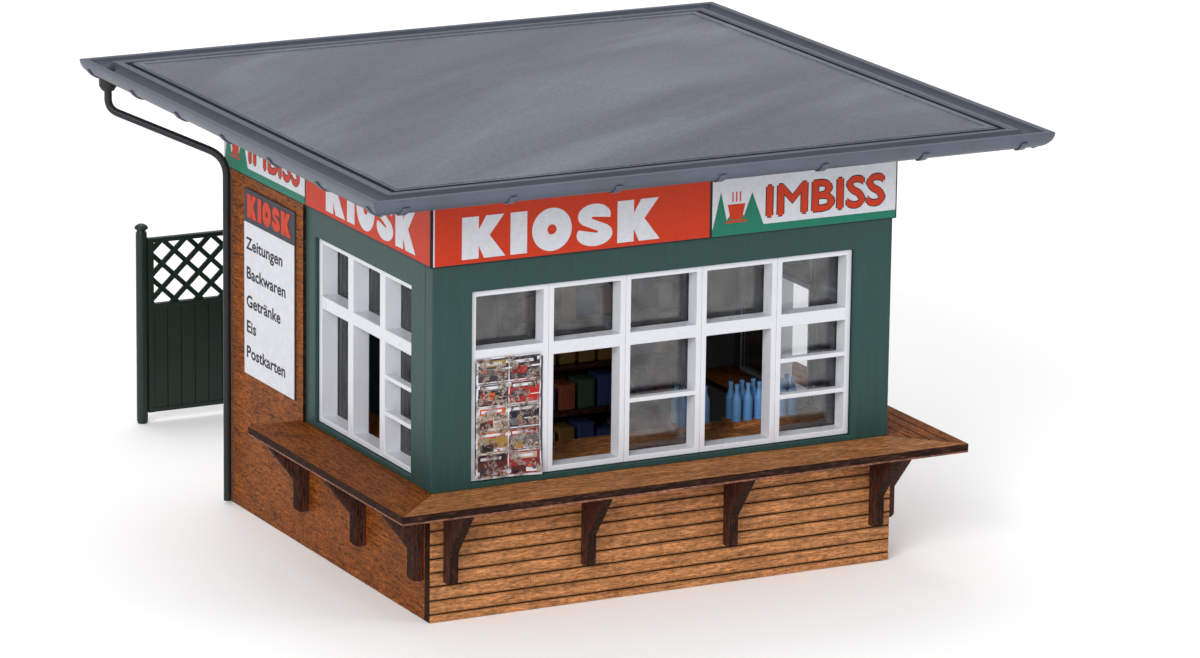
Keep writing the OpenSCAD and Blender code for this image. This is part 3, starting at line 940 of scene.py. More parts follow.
def letter_k(bm, left, height):
    """A very heavy K, whose arms leave only small notches."""
    stem, waist, width = 0.43 * height, 0.71 * height, 1.12 * height
    outline = [
        (0, 0), (stem, 0), (stem, 0.30 * height), (0.57 * height, 0), (width, 0),
        (waist, 0.53 * height), (1.08 * height, height), (0.62 * height, height),
        (stem, 0.68 * height), (stem, height), (0, height),
    ]
    add_outline(bm, [(left + x, y, 0) for x, y in outline], (0, 0, PRINT_RELIEF))
    return left + width


def letter_i(bm, left, height):
    width = 0.43 * height
    add_box(bm, (left, 0, 0), (left + width, height, PRINT_RELIEF))
    return left + width


def letter_o(bm, left, height):
    """A round O with a small eye."""
    outer, eye = 0.515 * height, 0.12 * height
    corners = [
        bm.verts.new((radius, 0, level))
        for radius, level in (
            (eye, 0), (outer, 0), (outer, PRINT_RELIEF), (eye, PRINT_RELIEF),
        )
    ]
    edges = [bm.edges.new((corners[i - 1], corners[i])) for i in range(4)]
    bmesh.ops.spin(
        bm, geom=[*corners, *edges], cent=(0, 0, 0), axis=(0, 0, 1),
        angle=math.tau, steps=36, use_merge=True,
    )
    bmesh.ops.translate(bm, vec=(left + outer, height / 2, 0), verts=bm.verts)
    return left + 2 * outer


def letter_s(bm, left, height):
    """A heavy S: two bowls that leave only a notch on either side."""
    width = 0.94

    def bowl(centre, half, start, end, steps=16):
        turns = [
            math.radians(start + (end - start) * step / steps)
            for step in range(steps + 1)
        ]
        return [
            (centre[0] + half[0] * math.cos(turn), centre[1] + half[1] * math.sin(turn))
            for turn in turns
        ]

    outline = [
        *bowl((0.46, 0.72), (0.43, 0.285), -14, 226),
        (0.56, 0.345), (0.53, 0.30), (0.06, 0.40),
        *bowl((0.47, 0.275), (0.47, 0.285), 163, 406),
        (0.38, 0.655), (0.41, 0.70),
    ]
    add_outline(
        bm, [(left + x * height, y * height, 0) for x, y in outline],
        (0, 0, PRINT_RELIEF),
    )
    return left + width * height


LETTERS = {"K": letter_k, "I": letter_i, "O": letter_o, "S": letter_s}


def heavy_word(word, height, gap):
    """A word in very heavy letters that starts at x = 0 and stands on y = 0."""
    bm = bmesh.new()
    left = 0.0
    for letter in word:
        part = bmesh.new()
        left = LETTERS[letter](part, left, height) + gap
        bmesh.ops.recalc_face_normals(part, faces=part.faces)
        merge(bm, part)
    return bm, left - gap


class KIOSK_OT_signs(bpy.types.Operator):
    """Printed sign boards round the top of the walls"""

    bl_idname = "kiosk.signs"
    bl_label = "Signs"

    def execute(self, context):
        # Whether the red part comes first when the sign is read
        for side, red_first in (("front", True), ("left", False), ("right", True)):
            self.sign(context, side, red_first)
        return {"FINISHED"}

    def sign(self, context, side, red_first):
        node = f"{side}_sign"
        paint = finish(context)
        low, high = cad_box(node)
        along = X if side == "front" else Y
        length_mm = high[along] - low[along]
        height = high.z - low.z
        red_share = 0.591
        red_length = red_share * length_mm
        red_start = 0.0 if red_first else length_mm - red_length
        white_start = red_length if red_first else 0.0
        white_length = length_mm - red_length

        work = bmesh.new()
        line = 0.14

        def patch(start, end, edge, level, shade):
            top = (end, height - edge, level * PRINT_RELIEF)
            add_block(work, (start, edge, 0), top, shade)

        patch(0, length_mm, 0, 0.5, paint.ink)
        for start, run, shade in (
            (red_start, red_length, paint.sign_red),
            (white_start, white_length, paint.sign_white),
        ):
            patch(start + line, start + run - line, line, 1, shade)
        if red_first:
            patch(line, 2 * line, line, 1.4, paint.sign_white)
        share, size = HEADING[side]
        self.heading(work, red_start, red_length, share, size, paint)
        self.landscape(work, white_start + line, white_length - 2 * line, paint)

        start = {
            "front": (low.x, low.y, low.z),
            "left": (low.x, high.y, low.z),
            "right": (high.x, low.y, low.z),
        }[side]
        place(work, work.verts, side, start)
        make_piece(context, work, f"{side}_sign_print", ["print"], (), 30)

        board = cad_copy(node)
        round_edges(board, 0.03, 1)
        make_piece(
            context, board, f"{side}_sign_board", ["burnt edge"], (node,),
        )

    def heading(self, work, start, red_length, share, size, paint):
        """The heavy white word on the red part."""
        height, gap, base_y, relief = 4.05, 0.52, 0.55, 2.0
        word, width = heavy_word(SIGN_WORD, height, gap)
        bmesh.ops.scale(word, vec=(size, 1, relief), verts=word.verts)
        shift = Vector((start + (red_length - width * size) * share, base_y, 0.0))
        bmesh.ops.translate(word, vec=shift, verts=word.verts)
        merge(work, word, paint.sign_white)

    def landscape(self, work, start, width, paint):
        """Firs and a green strip of ground, a cup, and a plain word."""
        ground_low, ground_top, foot = 0.1, 0.85, 0.8
        add_block(work, (start, ground_low, 0),
                  (start + width, ground_top, 1.4 * PRINT_RELIEF), paint.sign_green)
        # Each fir's middle, height and half width
        firs = ((0.9, 3.6, 0.85), (4.3, 3.3, 1.3), (2.6, 2.2, 1.6))
        for number, (middle_x, tall, half) in enumerate(firs):
            fir = bmesh.new()
            add_outline(fir, [
                (start + middle_x - half, foot, 0), (start + middle_x + half, foot, 0),
                (start + middle_x, foot + tall, 0),
            ], (0, 0, (1.5 + 0.1 * number) * PRINT_RELIEF))
            merge(work, fir, paint.sign_green)
        cup_x, base_y = 2.6, 1.6
        self.cup(work, start + cup_x, base_y, paint)
        picture, margin = 5.2, 0.75
        free = width - picture - margin
        middle = (start + picture + free / 2, base_y)
        word_height, widest, full_length = 3.1, 1.16, 14.4
        stretch = widest * min(1.0, free / full_length)
        for spread, level, shade in (
            (0.2, 1.0, paint.ink), (0.1, 1.6, paint.sign_red),
        ):
            bold_word(work, SNACK_WORD, word_height, stretch, spread,
                      (*middle, level * PRINT_RELIEF), shade)

    def cup(self, work, centre_x, base_y, paint):
        """A steaming cup on its saucer."""
        relief = 2 * PRINT_RELIEF
        foot, brim, tall = 0.62, 0.95, 1.5
        saucer, steam_low, steam_high, steam_half = 1.15, 1.75, 2.7, 0.07
        body = bmesh.new()
        add_outline(body, [
            (-foot, 0, 0), (foot, 0, 0), (brim, tall, 0), (-brim, tall, 0),
        ], (0, 0, relief))
        add_box(body, (-saucer, -0.3, 0), (saucer, -0.1, relief))
        for steam_x in (-0.4, 0.0, 0.4):
            add_box(body, (steam_x - steam_half, steam_low, 0),
                    (steam_x + steam_half, steam_high, relief))
        bmesh.ops.translate(body, vec=(centre_x, base_y, 0), verts=body.verts)
        merge(work, body, paint.sign_red)


class KIOSK_OT_print(bpy.types.Operator):
    """The poster on the left wall and the magazines in the first window"""

    bl_idname = "kiosk.print"
    bl_label = "Poster and magazines"

    def execute(self, context):
        self.poster(context)
        self.magazines(context)
        return {"FINISHED"}

    def poster(self, context):
        paint = finish(context)
        low, high = cad_box("wall_poster")
        width, height = high.y - low.y, high.z - low.z
        thick = high.x - low.x
        # The white sheet ends under the heading, and the board lies behind the print
        sheet_top, border, board_front = 15.6, 0.05, -0.03

        bm = bmesh.new()
        board = bmesh.new()
        add_box(board, (0, 0, -thick), (width, height, board_front))
        round_edges(board, 0.03, 1)
        merge(bm, board, shaded(paint.ink, 2.2))
        add_block(bm, (border, border, board_front - 0.01),
                  (width - border, sheet_top, 0), paint.sign_white)
        header, header_width = heavy_word(SIGN_WORD, 2.0, 0.26)
        bmesh.ops.scale(header, vec=(1, 1.2, 2.5), verts=header.verts)
        bmesh.ops.translate(
            header, vec=((width - header_width) / 2, sheet_top + 0.55, board_front),
            verts=header.verts,
        )
        merge(bm, header, paint.sign_red)
        rows = ((12.9, "Zeitungen"), (9.9, "Backwaren"), (7.0, "Getränke"),
                (4.4, "Eis"), (1.8, "Postkarten"))
        text_height, stretch, spread, left, level = 1.25, 1.25, 0.04, 0.55, 0.005
        for row_z, word in rows:
            bold_word(bm, word, text_height, stretch, spread, (left, row_z, level),
                      paint.ink, "LEFT")
        place(bm, bm.verts, "left", (low.x, high.y, low.z))
        make_piece(context, bm, "wall_poster_print", ["print"],
                   ("wall_poster",), 30)

    def magazines(self, context):
        """Ten covers on one sheet, whose lower corner has come away."""
        paint = finish(context)
        low, high = cad_box("magazine_sheet")
        width, height = high.x - low.x, high.z - low.z
        draw = random.Random(stage(context).seed)
        palette = [srgb(*shade) for shade in (
            (170, 36, 30), (190, 84, 34), (26, 30, 44), (150, 120, 60), (24, 22, 26),
            (80, 38, 32), (60, 50, 56), (176, 158, 140), (96, 90, 92), (140, 40, 46),
        )]
        bm = bmesh.new()
        paper = bmesh.new()
        bmesh.ops.create_grid(paper, x_segments=14, y_segments=22, size=0.5)
        bmesh.ops.scale(paper, vec=(width, height, 1), verts=paper.verts)
        bmesh.ops.translate(paper, vec=(width / 2, height / 2, 0), verts=paper.verts)
        merge(bm, paper, paint.sign_white)

        layer = 0.008

        def block(x0, y0, x1, y1, level, shade):
            part = bmesh.new()
            bmesh.ops.create_grid(part, x_segments=3, y_segments=3, size=0.5)
            bmesh.ops.scale(part, vec=(x1 - x0, y1 - y0, 1), verts=part.verts)
            bmesh.ops.translate(
                part, vec=((x0 + x1) / 2, (y0 + y1) / 2, level * layer),
                verts=part.verts,
            )
            merge(bm, part, shade)

        columns, rows, margin = 2, 5, 0.22
        cell_w = (width - margin) / columns
        cell_h = (height - margin) / rows
        for column in range(columns):
            for row in range(rows):
                x0 = margin + column * cell_w
                y0 = margin + row * cell_h
                x1, y1 = x0 + cell_w - margin * 0.6, y0 + cell_h - margin * 0.5
                cover = draw.sample(palette, 4)
                block(x0, y0, x1, y1, 1, cover[0])
                block(x0 + 0.15, y1 - 0.75, x1 - 0.3, y1 - 0.15, 2, cover[1])
                block(x0 + 0.3, y1 - 0.6, x1 - 0.7, y1 - 0.32, 3, paint.sign_white)
                middle = draw.uniform(0.35, 0.65)
                block(x0 + 0.2, y0 + 0.15, x0 + middle * cell_w, y1 - 0.95, 2, cover[2])
                for _ in range(7):
                    spot_x = draw.uniform(x0 + 0.1, x1 - 0.6)
                    spot_y = draw.uniform(y0 + 0.05, y1 - 1.2)
                    block(spot_x, spot_y, spot_x + draw.uniform(0.2, 0.6),
                          spot_y + draw.uniform(0.1, 0.4), 3 + draw.random(),
                          draw.choice(palette))
        # The lower right corner lifts, from these shares of the width and height on
        from_x, below_y, lift, ripple = 0.45, 0.4, 0.5, 0.05
        for point in bm.verts:
            right = max(0.0, point.co.x / width - from_x) / (1 - from_x)
            down = max(0.0, below_y - point.co.y / height) / below_y
            curl = lift * (right * down) ** 1.5
            point.co.z += curl + ripple * math.sin(3 * point.co.y)
        paper_t, off_frame = 0.01, 0.06
        bmesh.ops.solidify(bm, geom=bm.faces[:], thickness=-paper_t)
        bmesh.ops.recalc_face_normals(bm, faces=bm.faces)
        place(bm, bm.verts, "front", (low.x, low.y - off_frame, low.z))
        make_piece(context, bm, "magazine_covers", ["covers"],
                   ("magazine_sheet",), 60)


# ---------- roof and gutter ----------


class KIOSK_OT_roof(bpy.types.Operator):
    """The slate grey roof with its gutter, hooks, outlet and downpipe"""

    bl_idname = "kiosk.roof"
    bl_label = "Roof, gutter and downpipe"

    def execute(self, context):
        # Where the roof's groove and the gutter's channel lie, in from the eaves; both
        # are painted darker as painted shade
        groove, channel = (3.35, 4.05), (0.66, 2.54)
        self.grooved(
            context, "roof_deck", "roof slate", "groove slate painted shade", "roof_plastic",
            groove, 1.0,
        )
        for side in ("front", "back", "left", "right"):
            self.grooved(
                context, f"{side}_gutter", "gutter slate", "channel slate painted shade",
                "gutter_plastic", channel, 35.0,
            )
        rounded_copy(context, "gutter_hooks", ["gutter slate"], 0.05)
        self.outlet(context)
        self.downpipe(context)
        return {"FINISHED"}

    def grooved(self, context, node, name, dark, slot, groove, smooth):
        """A copy of a node whose groove, given by its distances in from the eaves,
        is painted darker as painted shade in the recess."""
        reach = cad_box("front_gutter")[1].x, cad_box("left_gutter")[1].y
        rim = cad_box("front_gutter")[1].z
        bm = cad_copy(node)
        for face in bm.faces:
            insets = [
                min(reach[X] - abs(point.co.x), reach[Y] - abs(point.co.y))
                for point in face.verts
            ]
            inside = min(insets) > groove[0] and max(insets) < groove[1]
            sunk = face.calc_center_median().z < rim - 0.03
            # Painted shade: the sunk faces in the groove take the darker material
            if inside and sunk and face.normal.z > -0.1:
                face.material_index = 1
        round_edges(bm, 0.05)
        make_piece(context, bm, f"{node}_shape", [name, dark], (node,), smooth)

    def outlet(self, context):
        low, high = cad_box("pipe_outlet")
        radius = (high.x - low.x) / 2
        middle = (low + high) / 2
        bm = bmesh.new()
        turned(bm, [
            (0.0, low.z), (radius * 0.6, low.z), (radius * 0.92, low.z + 0.5),
            (radius * 0.92, high.z - 0.45), (radius, high.z - 0.35),
            (radius, high.z - 0.05), (0.0, high.z),
        ], middle)
        round_edges(bm, 0.05)
        make_piece(context, bm, "gutter_outlet", ["pipe grey"],
                   ("pipe_outlet",))

    def downpipe(self, context):
        low, high = cad_box("downpipe")
        out_low, out_high = cad_box("pipe_outlet")
        radius, bend = 0.39, 2.0
        # The pipe's middle stands this far in from the sides of its box
        stand_off = 0.475
        outlet = (out_low + out_high) / 2
        wall_x, wall_y = high.x - stand_off - 0.01, low.y + stand_off
        top = out_low.z
        inside_outlet, first_bend, second_bend = 0.3, 1.9, 5.7
        route = [
            Vector((outlet.x, outlet.y, top + inside_outlet)),
            Vector((outlet.x, outlet.y, top - first_bend)),
            Vector((wall_x, wall_y, top - second_bend)),
            Vector((wall_x, wall_y, low.z)),
        ]
        bm = tube(rounded_route(route, bend), radius)
        make_piece(context, bm, "downpipe_tube", ["pipe grey"],
                   ("downpipe",), 50)


def turned(bm, profile, at, steps=28):
    """A turned shape about an upright axis: profile is radius and height, from the
    bottom to the top, and it starts and ends on the axis."""
    part = bmesh.new()
    points = [part.verts.new((radius, 0, height)) for radius, height in profile]
    edges = [part.edges.new(pair) for pair in zip(points, points[1:])]
    bmesh.ops.spin(
        part, geom=[*points, *edges], cent=(0, 0, 0), axis=(0, 0, 1),
        angle=math.tau, steps=steps, use_merge=True,
    )
    bmesh.ops.remove_doubles(part, verts=part.verts, dist=0.0005)
    bmesh.ops.translate(part, vec=(at[0], at[1], 0), verts=part.verts)
    bmesh.ops.recalc_face_normals(part, faces=part.faces)
    merge(bm, part)


def islands(bm):
    """The points of each connected part, in the order of their first points."""
    seen = set()
    found = []
    for start in bm.verts:
        if start in seen:
            continue
        island, queue = [], [start]
        seen.add(start)
        while queue:
            point = queue.pop()
            island.append(point)
            for edge in point.link_edges:
                other = edge.other_vert(point)
                if other not in seen:
                    seen.add(other)
                    queue.append(other)
        found.append(island)
    return found


def rounded_route(points, radius, steps=8):
    """A route with its corners rounded off."""
    route = [points[0]]
    for before, corner, after in zip(points, points[1:], points[2:]):
        back, ahead = (before - corner), (after - corner)
        reach = min(radius, back.length / 2, ahead.length / 2)
        start = corner + back.normalized() * reach
        end = corner + ahead.normalized() * reach
        for step in range(steps + 1):
            share = step / steps
            rest = 1 - share
            route.append(
                start * rest ** 2 + corner * 2 * share * rest + end * share ** 2
            )
    return route + [points[-1]]


def tube(route, radius):
    """A closed round tube along a route."""
    curve = bpy.data.curves.new("tube", "CURVE")
    curve.dimensions = "3D"
    curve.bevel_depth = radius
    curve.bevel_resolution = 4
    curve.use_fill_caps = True
    line = curve.splines.new("POLY")
    line.points.add(len(route) - 1)
    for point, spot in zip(line.points, route):
        point.co = (*spot, 1.0)
    bm = curve_shape(curve, 0.0005)
    bmesh.ops.recalc_face_normals(bm, faces=bm.faces)
    return bm


# ---------- inside ----------


class KIOSK_OT_inside(bpy.types.Operator):
    """The counters, shelves, goods and bottles inside the hut"""

    bl_idname = "kiosk.inside"
    bl_label = "Inside"

    def execute(self, context):
        edge = timber(context).edge / MM
        for side in ("front", "left", "right"):
            top = "counter front" if side == "front" else "counter side"
            rounded_copy(
                context, f"inner_{side}_counter", [top, "burnt edge"],
                edge, thin=Z,
            )
        rounded_copy(context, "shelf_unit", ["shelf wood"], edge)
        self.goods(context)
        self.bottles(context)
        return {"FINISHED"}

    def goods(self, context):
        """Packets on the shelves, each in a colour of its own."""
        draw = random.Random(stage(context).seed + 1)
        palette = [srgb(*shade) for shade in (
            (190, 70, 56), (84, 104, 160), (206, 190, 172), (180, 136, 76),
            (96, 124, 104), (130, 100, 128), (206, 112, 76),
        )]
        bm = cad_copy("shelf_goods")
        for island in islands(bm):
            tint(bm, faces_of(island), draw.choice(palette))
        round_edges(bm, 0.12)
        make_piece(context, bm, "shelf_packets", ["print"], ("shelf_goods",))

    def bottles(self, context):
        """Blue bottles, standing close together in two low crates."""
        low, high = cad_box("counter_bottles")
        pitch, crate_deep, crate_tall = 1.25, 2.5, 0.7
        few, many = 3, 6
        # Each crate's corner, and how many bottles stand along it
        crates = (
            (Vector((low.x, high.y - crate_deep, low.z)), few),
            (Vector((high.x - many * pitch, low.y, low.z)), many),
        )
        bottles, boxes = bmesh.new(), bmesh.new()
        for corner, columns in crates:
            size = Vector((columns * pitch, crate_deep, crate_tall))
            add_box(boxes, corner, corner + size)
            for column in range(columns):
                for row in range(2):
                    step = Vector(((column + 0.5) * pitch, (row + 0.5) * pitch, 0))
                    self.bottle(bottles, corner + step, high.z - low.z)
        round_edges(boxes, 0.08)
        make_piece(context, boxes, "bottle_crates", ["counter front"],
                   ("counter_bottles",))
        make_piece(context, bottles, "bottle_shapes", ["bottle blue"])

    def bottle(self, bm, spot, height):
        """One bottle with ribs round its body, a sloping shoulder and a cap."""
        one = bmesh.new()
        body, neck = 0.5, 0.19
        cap, waist = neck + 0.05, body - 0.05
        foot, rib_pitch = 0.3, 0.5
        profile = [(0.0, foot), (waist, foot)]
        for rib in range(4):
            profile += [(body, 0.75 + rib_pitch * rib), (waist, 1.0 + rib_pitch * rib)]
        profile += [
            (body, 2.75), (body - 0.06, 2.95), (neck, 3.7), (neck, height - 0.35),
            (cap, height - 0.3), (cap, height), (0.0, height),
        ]
        turned(one, profile, (0, 0), 16)
        bmesh.ops.translate(one, vec=spot, verts=one.verts)
        merge(bm, one)


# ---------- back door ----------


class KIOSK_OT_back_door(bpy.types.Operator):
    """The back door with its frame, two panels, hinges and a lever handle"""

    bl_idname = "kiosk.back_door"
    bl_label = "Back door"

    # Height of the middle rail and of the handle, as a share of the leaf
    RAIL_SHARE = 0.46

    def execute(self, context):
        edge = finish(context).soft_edge / MM
        rounded_copy(context, "back_door_frame", ["front green"], edge)
        low, high = cad_box("back_door")
        bm = cad_copy("back_door")
        # Two sunk panels with a rail between them, and a raised field in each
        border, gap, foot = 1.3, 1.1, 0.6
        sunk, field_in = 0.18, 0.7
        middle = low.z + (high.z - low.z) * self.RAIL_SHARE
        inner = high.y - sunk
        bm = carve(bm, [
            ((low.x + border, inner, low.z + border + foot),
             (high.x - border, high.y + 1, middle - gap / 2)),
            ((low.x + border, inner, middle + gap / 2),
             (high.x - border, high.y + 1, high.z - border)),
        ], 0)
        round_edges(bm, 0.06)
        for z0, z1 in (
            (low.z + border + foot + field_in, middle - gap / 2 - field_in),
            (middle + gap / 2 + field_in, high.z - border - field_in),
        ):
            field = bmesh.new()
            add_box(field, (low.x + border + field_in, inner - 0.1, z0),
                    (high.x - border - field_in, high.y - 0.04, z1))
            round_edges(field, 0.08)
            merge(bm, field)
        make_piece(context, bm, "back_door_leaf", ["door green"],
                   ("back_door",))
        self.fittings(context, low, high)
        return {"FINISHED"}

    def fittings(self, context, low, high):
        """The handle's plate, lever and neck, and two hinges."""
        bm = bmesh.new()
        x, y = high.x - 0.7, high.y
        z = low.z + (high.z - low.z) * self.RAIL_SHARE
        for start, end in (
            ((x - 0.3, y - 0.05, z - 1.0), (x + 0.3, y + 0.08, z + 1.0)),
            ((x - 1.3, y + 0.22, z + 0.2), (x + 0.15, y + 0.42, z + 0.42)),
            ((x - 0.12, y, z + 0.2), (x + 0.12, y + 0.3, z + 0.42)),
        ):
            add_box(bm, start, end)
        hinge_tall = 1.2
        for hinge_z in (low.z + 3.0, high.z - 3.5):
            add_box(bm, (low.x - 0.12, y - 0.1, hinge_z),
                    (low.x + 0.16, y + 0.16, hinge_z + hinge_tall))
        round_edges(bm, 0.05)
        make_piece(context, bm, "back_door_fittings", ["door metal"])


# ---------- privacy screen ----------


class KIOSK_OT_screen(bpy.types.Operator):
    """The privacy screen: turned posts, boarded panels and their lattice"""

    bl_idname = "kiosk.screen"
    bl_label = "Privacy screen"

    def execute(self, context):
        self.posts(context)
        for side in ("left", "right", "return"):
            node = "screen_return_panel" if side == "return" else f"screen_panel_{side}"
            self.panel(context, node, Y if side == "return" else X)
        return {"FINISHED"}

    def posts(self, context):
        low, high = cad_box("screen_posts")
        left_low, left_high = cad_box("screen_panel_left")
        right_low = cad_box("screen_panel_right")[0]
        back_low = cad_box("screen_return_panel")[0]
        radius, cap = 0.6, 0.75
        line_y = (left_low.y + left_high.y) / 2
        spots = [
            (low.x + cap, line_y), ((left_high.x + right_low.x) / 2, line_y),
            (high.x - cap, line_y), (high.x - cap, back_low.y - radius - FIT),
        ]
        bm = bmesh.new()
        knob = 0.7
        top, throat = high.z - knob, radius * 0.78
        for spot in spots:
            turned(bm, [
                (0.0, 0.0), (radius - 0.1, 0.0), (radius, 0.3), (radius, top - 0.25),
                (throat, top - 0.05), (throat, top + 0.05),
                (cap, top + 0.25), (cap * 0.86, top + 0.5), (cap * 0.45, high.z),
                (0.0, high.z),
            ], spot, 20)
        make_piece(context, bm, "screen_post_shapes", ["screen green"],
                   ("screen_posts",), 40)

    def panel(self, context, node, along):
        """Rails and stiles, upright boards below, and a lattice above."""
        low, high = cad_box(node)
        run = high[along] - low[along]
        thick = 0.8
        rail, stile, lattice = 0.5, 0.65, 6.6
        height = high.z - low.z
        lattice_z = height - rail - lattice
        bm = bmesh.new()

        def bar(start, end, rounding):
            part = add_box(bm, start, end)
            round_edges(bm, rounding, edges=edges_of(part))

        # Rails and boards reach this far into the stiles and rails
        lap, half = 0.1, thick / 2
        for z0 in (height - rail, lattice_z - rail, 0.0):
            bar((stile - lap, 0.04 - half, z0 + 0.01),
                (run - stile + lap, half - 0.04, z0 + rail - 0.01), 0.06)
        for x0 in (0.0, run - stile):
            bar((x0, -half, 0), (x0 + stile, half, height), 0.06)
        back_half = 0.15
        add_box(bm, (stile - lap, -back_half, lap),
                (run - stile + lap, back_half, lattice_z - lap))
        board_aim, board_half, board_gap = 1.55, 0.28, 0.03
        count = round((run - 2 * stile) / board_aim)
        board = (run - 2 * stile) / count
        for number in range(count):
            x0 = stile + number * board
            bar((x0 + board_gap, -board_half, lap),
                (x0 + board - board_gap, board_half, lattice_z - lap), 0.09)
        self.lattice(bm, run, stile, lattice_z, lattice)
        middle = (low + high) / 2
        if along == Y:
            bmesh.ops.rotate(bm, matrix=Matrix.Rotation(math.radians(90), 3, "Z"),
                             verts=bm.verts)
            at = (middle.x, low.y, low.z)
        else:
            at = (low.x, middle.y, low.z)
        bmesh.ops.translate(bm, vec=at, verts=bm.verts)
        make_piece(context, bm, f"{node}_shape", ["screen green"],
                   (node,), 30)

    def lattice(self, bm, run, stile, base_z, height):
        """Two layers of slanting bars, cut off inside the rails and stiles."""
        angle, pitch, bar, bar_deep = math.radians(43.5), 2.8, 0.5, 0.28
        step = pitch * math.tan(angle)
        grid = bmesh.new()
        reach = run / math.cos(angle)
        rise = run * math.tan(angle)
        first, last = -math.ceil(rise / step), math.ceil(height / step)
        for number in range(first, last + 1):
            for lean, front in ((1, -0.26), (-1, -0.02)):
                points = add_box(
                    grid, (-1, front, -bar / 2), (reach + 1, front + bar_deep, bar / 2),
                )
                turn = Matrix.Rotation(-angle * lean, 3, "Y")
                bmesh.ops.rotate(grid, matrix=turn, verts=points)
                start = base_z + number * step + (0 if lean > 0 else rise)
                bmesh.ops.translate(grid, vec=(0, 0, start), verts=points)
        hide = 0.15
        for at, out in (
            ((stile - hide, 0, 0), (-1, 0, 0)), ((run - stile + hide, 0, 0), (1, 0, 0)),
            ((0, 0, base_z - hide), (0, 0, -1)),
            ((0, 0, base_z + height + hide), (0, 0, 1)),
        ):
            cut = bmesh.ops.bisect_plane(
                grid, geom=[*grid.verts, *grid.edges, *grid.faces],
                plane_co=at, plane_no=out, clear_outer=True,
            )
            edges = [
                item for item in cut["geom_cut"] if isinstance(item, bmesh.types.BMEdge)
            ]
            bmesh.ops.holes_fill(grid, edges=edges)
        bmesh.ops.recalc_face_normals(grid, faces=grid.faces)
        merge(bm, grid)


# ---------- stage ----------


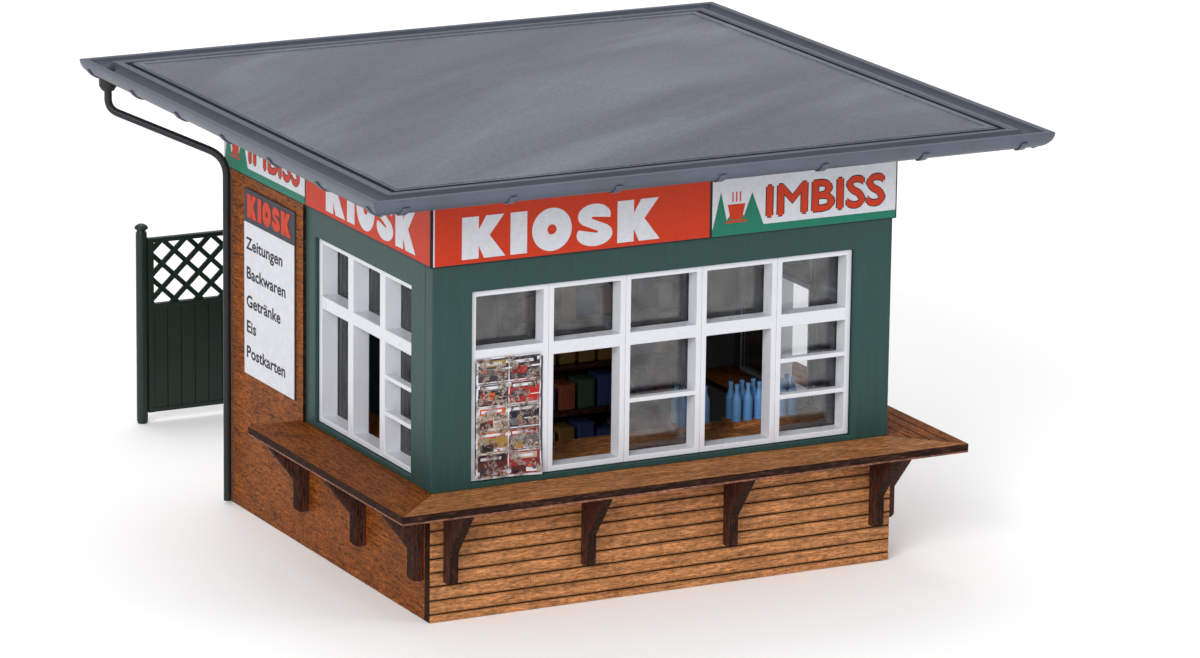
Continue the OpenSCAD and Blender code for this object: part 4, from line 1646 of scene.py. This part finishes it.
class KIOSK_OT_stage(bpy.types.Operator):
    """The pale floor, the soft light and the camera"""

    bl_idname = "kiosk.stage"
    bl_label = "Stage"

    def execute(self, context):
        settings = stage(context)
        self.floor(context, settings)
        self.camera(context, settings)
        self.lights(context, settings)
        context.scene.view_settings.view_transform = "Standard"
        return {"FINISHED"}

    def floor(self, context, settings):
        bm = bmesh.new()
        bmesh.ops.create_grid(
            bm, x_segments=1, y_segments=1, size=settings.floor_size / 2,
        )
        bmesh.ops.translate(bm, vec=(0, 0, -0.02 * MM), verts=bm.verts)
        mesh = bpy.data.meshes.new("floor")
        bm.to_mesh(mesh)
        bm.free()
        pale = Shade("pale floor", 0.9)
        pale.colour(pale.ramp(pale.noise((0.004,) * 3, detail=2), [
            (0.3, 0.96), (0.7, 0.98),
        ]))
        pale.shader.inputs["Emission Color"].default_value = (1.0, 1.0, 1.0, 1.0)
        pale.shader.inputs["Emission Strength"].default_value = 0.1
        mesh.materials.append(pale.material)
        floor = bpy.data.objects.new("floor", mesh)
        context.scene.collection.objects.link(floor)

    def camera(self, context, settings):
        lens = bpy.data.cameras.new("camera")
        lens.lens = settings.lens
        lens.sensor_width = 36.0
        lens.clip_start = 0.01
        lens.clip_end = 50.0
        camera = bpy.data.objects.new("camera", lens)
        context.scene.collection.objects.link(camera)
        camera.matrix_world = (
            Matrix.Translation(settings.camera_at)
            @ Matrix.Rotation(-settings.heading, 4, "Z")
            @ Matrix.Rotation(math.radians(90) - settings.dip, 4, "X")
            @ Matrix.Rotation(settings.roll, 4, "Z")
        )
        context.scene.camera = camera

    def lights(self, context, settings):
        world = bpy.data.worlds.new("surroundings")
        world.use_nodes = True
        tree = world.node_tree
        sky = tree.nodes["Background"]
        sky.inputs["Strength"].default_value = settings.world_strength
        height = tree.nodes.new("ShaderNodeSeparateXYZ")
        view = tree.nodes.new("ShaderNodeTexCoord")
        tree.links.new(view.outputs["Generated"], height.inputs[0])
        bands = tree.nodes.new("ShaderNodeValToRGB")
        points = bands.color_ramp.elements
        for place_z, _ in SKY_BANDS[2:]:
            points.new(place_z)
        for point, (place_z, grey) in zip(points, SKY_BANDS):
            point.position = place_z
            point.color = (grey, grey, grey, 1.0)
        tree.links.new(height.outputs[2], bands.inputs["Fac"])
        tree.links.new(bands.outputs["Color"], sky.inputs["Color"])
        context.scene.world = world
        target = Vector((0, 0, 0.02))
        for name, power, size, at in (
            ("key light", settings.key_power, 0.7, (-0.92, -0.80, 0.62)),
            ("fill light", settings.fill_power, 0.6, (0.9, -0.6, 0.4)),
            ("top light", settings.top_power, 0.9, (0.1, 0.5, 1.1)),
        ):
            lamp = bpy.data.lights.new(name, "AREA")
            lamp.shape = "DISK"
            lamp.energy = power
            lamp.size = size
            light = bpy.data.objects.new(name, lamp)
            context.scene.collection.objects.link(light)
            light.location = at
            aim = target - Vector(at)
            light.rotation_euler = aim.to_track_quat("-Z", "Y").to_euler()


# ---------- panel and registration ----------


OPERATORS = (
    KIOSK_OT_stage,
    KIOSK_OT_walls,
    KIOSK_OT_panels,
    KIOSK_OT_windows,
    KIOSK_OT_counter,
    KIOSK_OT_signs,
    KIOSK_OT_print,
    KIOSK_OT_roof,
    KIOSK_OT_inside,
    KIOSK_OT_back_door,
    KIOSK_OT_screen,
)


class KIOSK_PT_pieces(bpy.types.Panel):
    """The pieces of the kiosk and their settings"""

    bl_idname = "KIOSK_PT_pieces"
    bl_label = "Street kiosk"
    bl_space_type = "VIEW_3D"
    bl_region_type = "UI"
    bl_category = "Kiosk"

    def draw(self, context):
        for operator in OPERATORS:
            self.layout.operator(operator.bl_idname)
        for group in (timber(context), finish(context), stage(context)):
            box = self.layout.box()
            for name in group.__annotations__:
                box.prop(group, name)


GROUPS = {
    "kiosk_timber": KioskTimberSettings,
    "kiosk_finish": KioskFinishSettings,
    "kiosk_stage": KioskStageSettings,
}
CLASSES = (*GROUPS.values(), *OPERATORS, KIOSK_PT_pieces)


def register():
    for item in CLASSES:
        bpy.utils.register_class(item)
    for name, group in GROUPS.items():
        setattr(bpy.types.Scene, name, PointerProperty(type=group))


def unregister():
    for name in GROUPS:
        delattr(bpy.types.Scene, name)
    for item in reversed(CLASSES):
        bpy.utils.unregister_class(item)


def main():
    register()
    for operator in OPERATORS:
        group, name = operator.bl_idname.split(".")
        getattr(getattr(bpy.ops, group), name)()


if __name__ == "__main__":
    main()
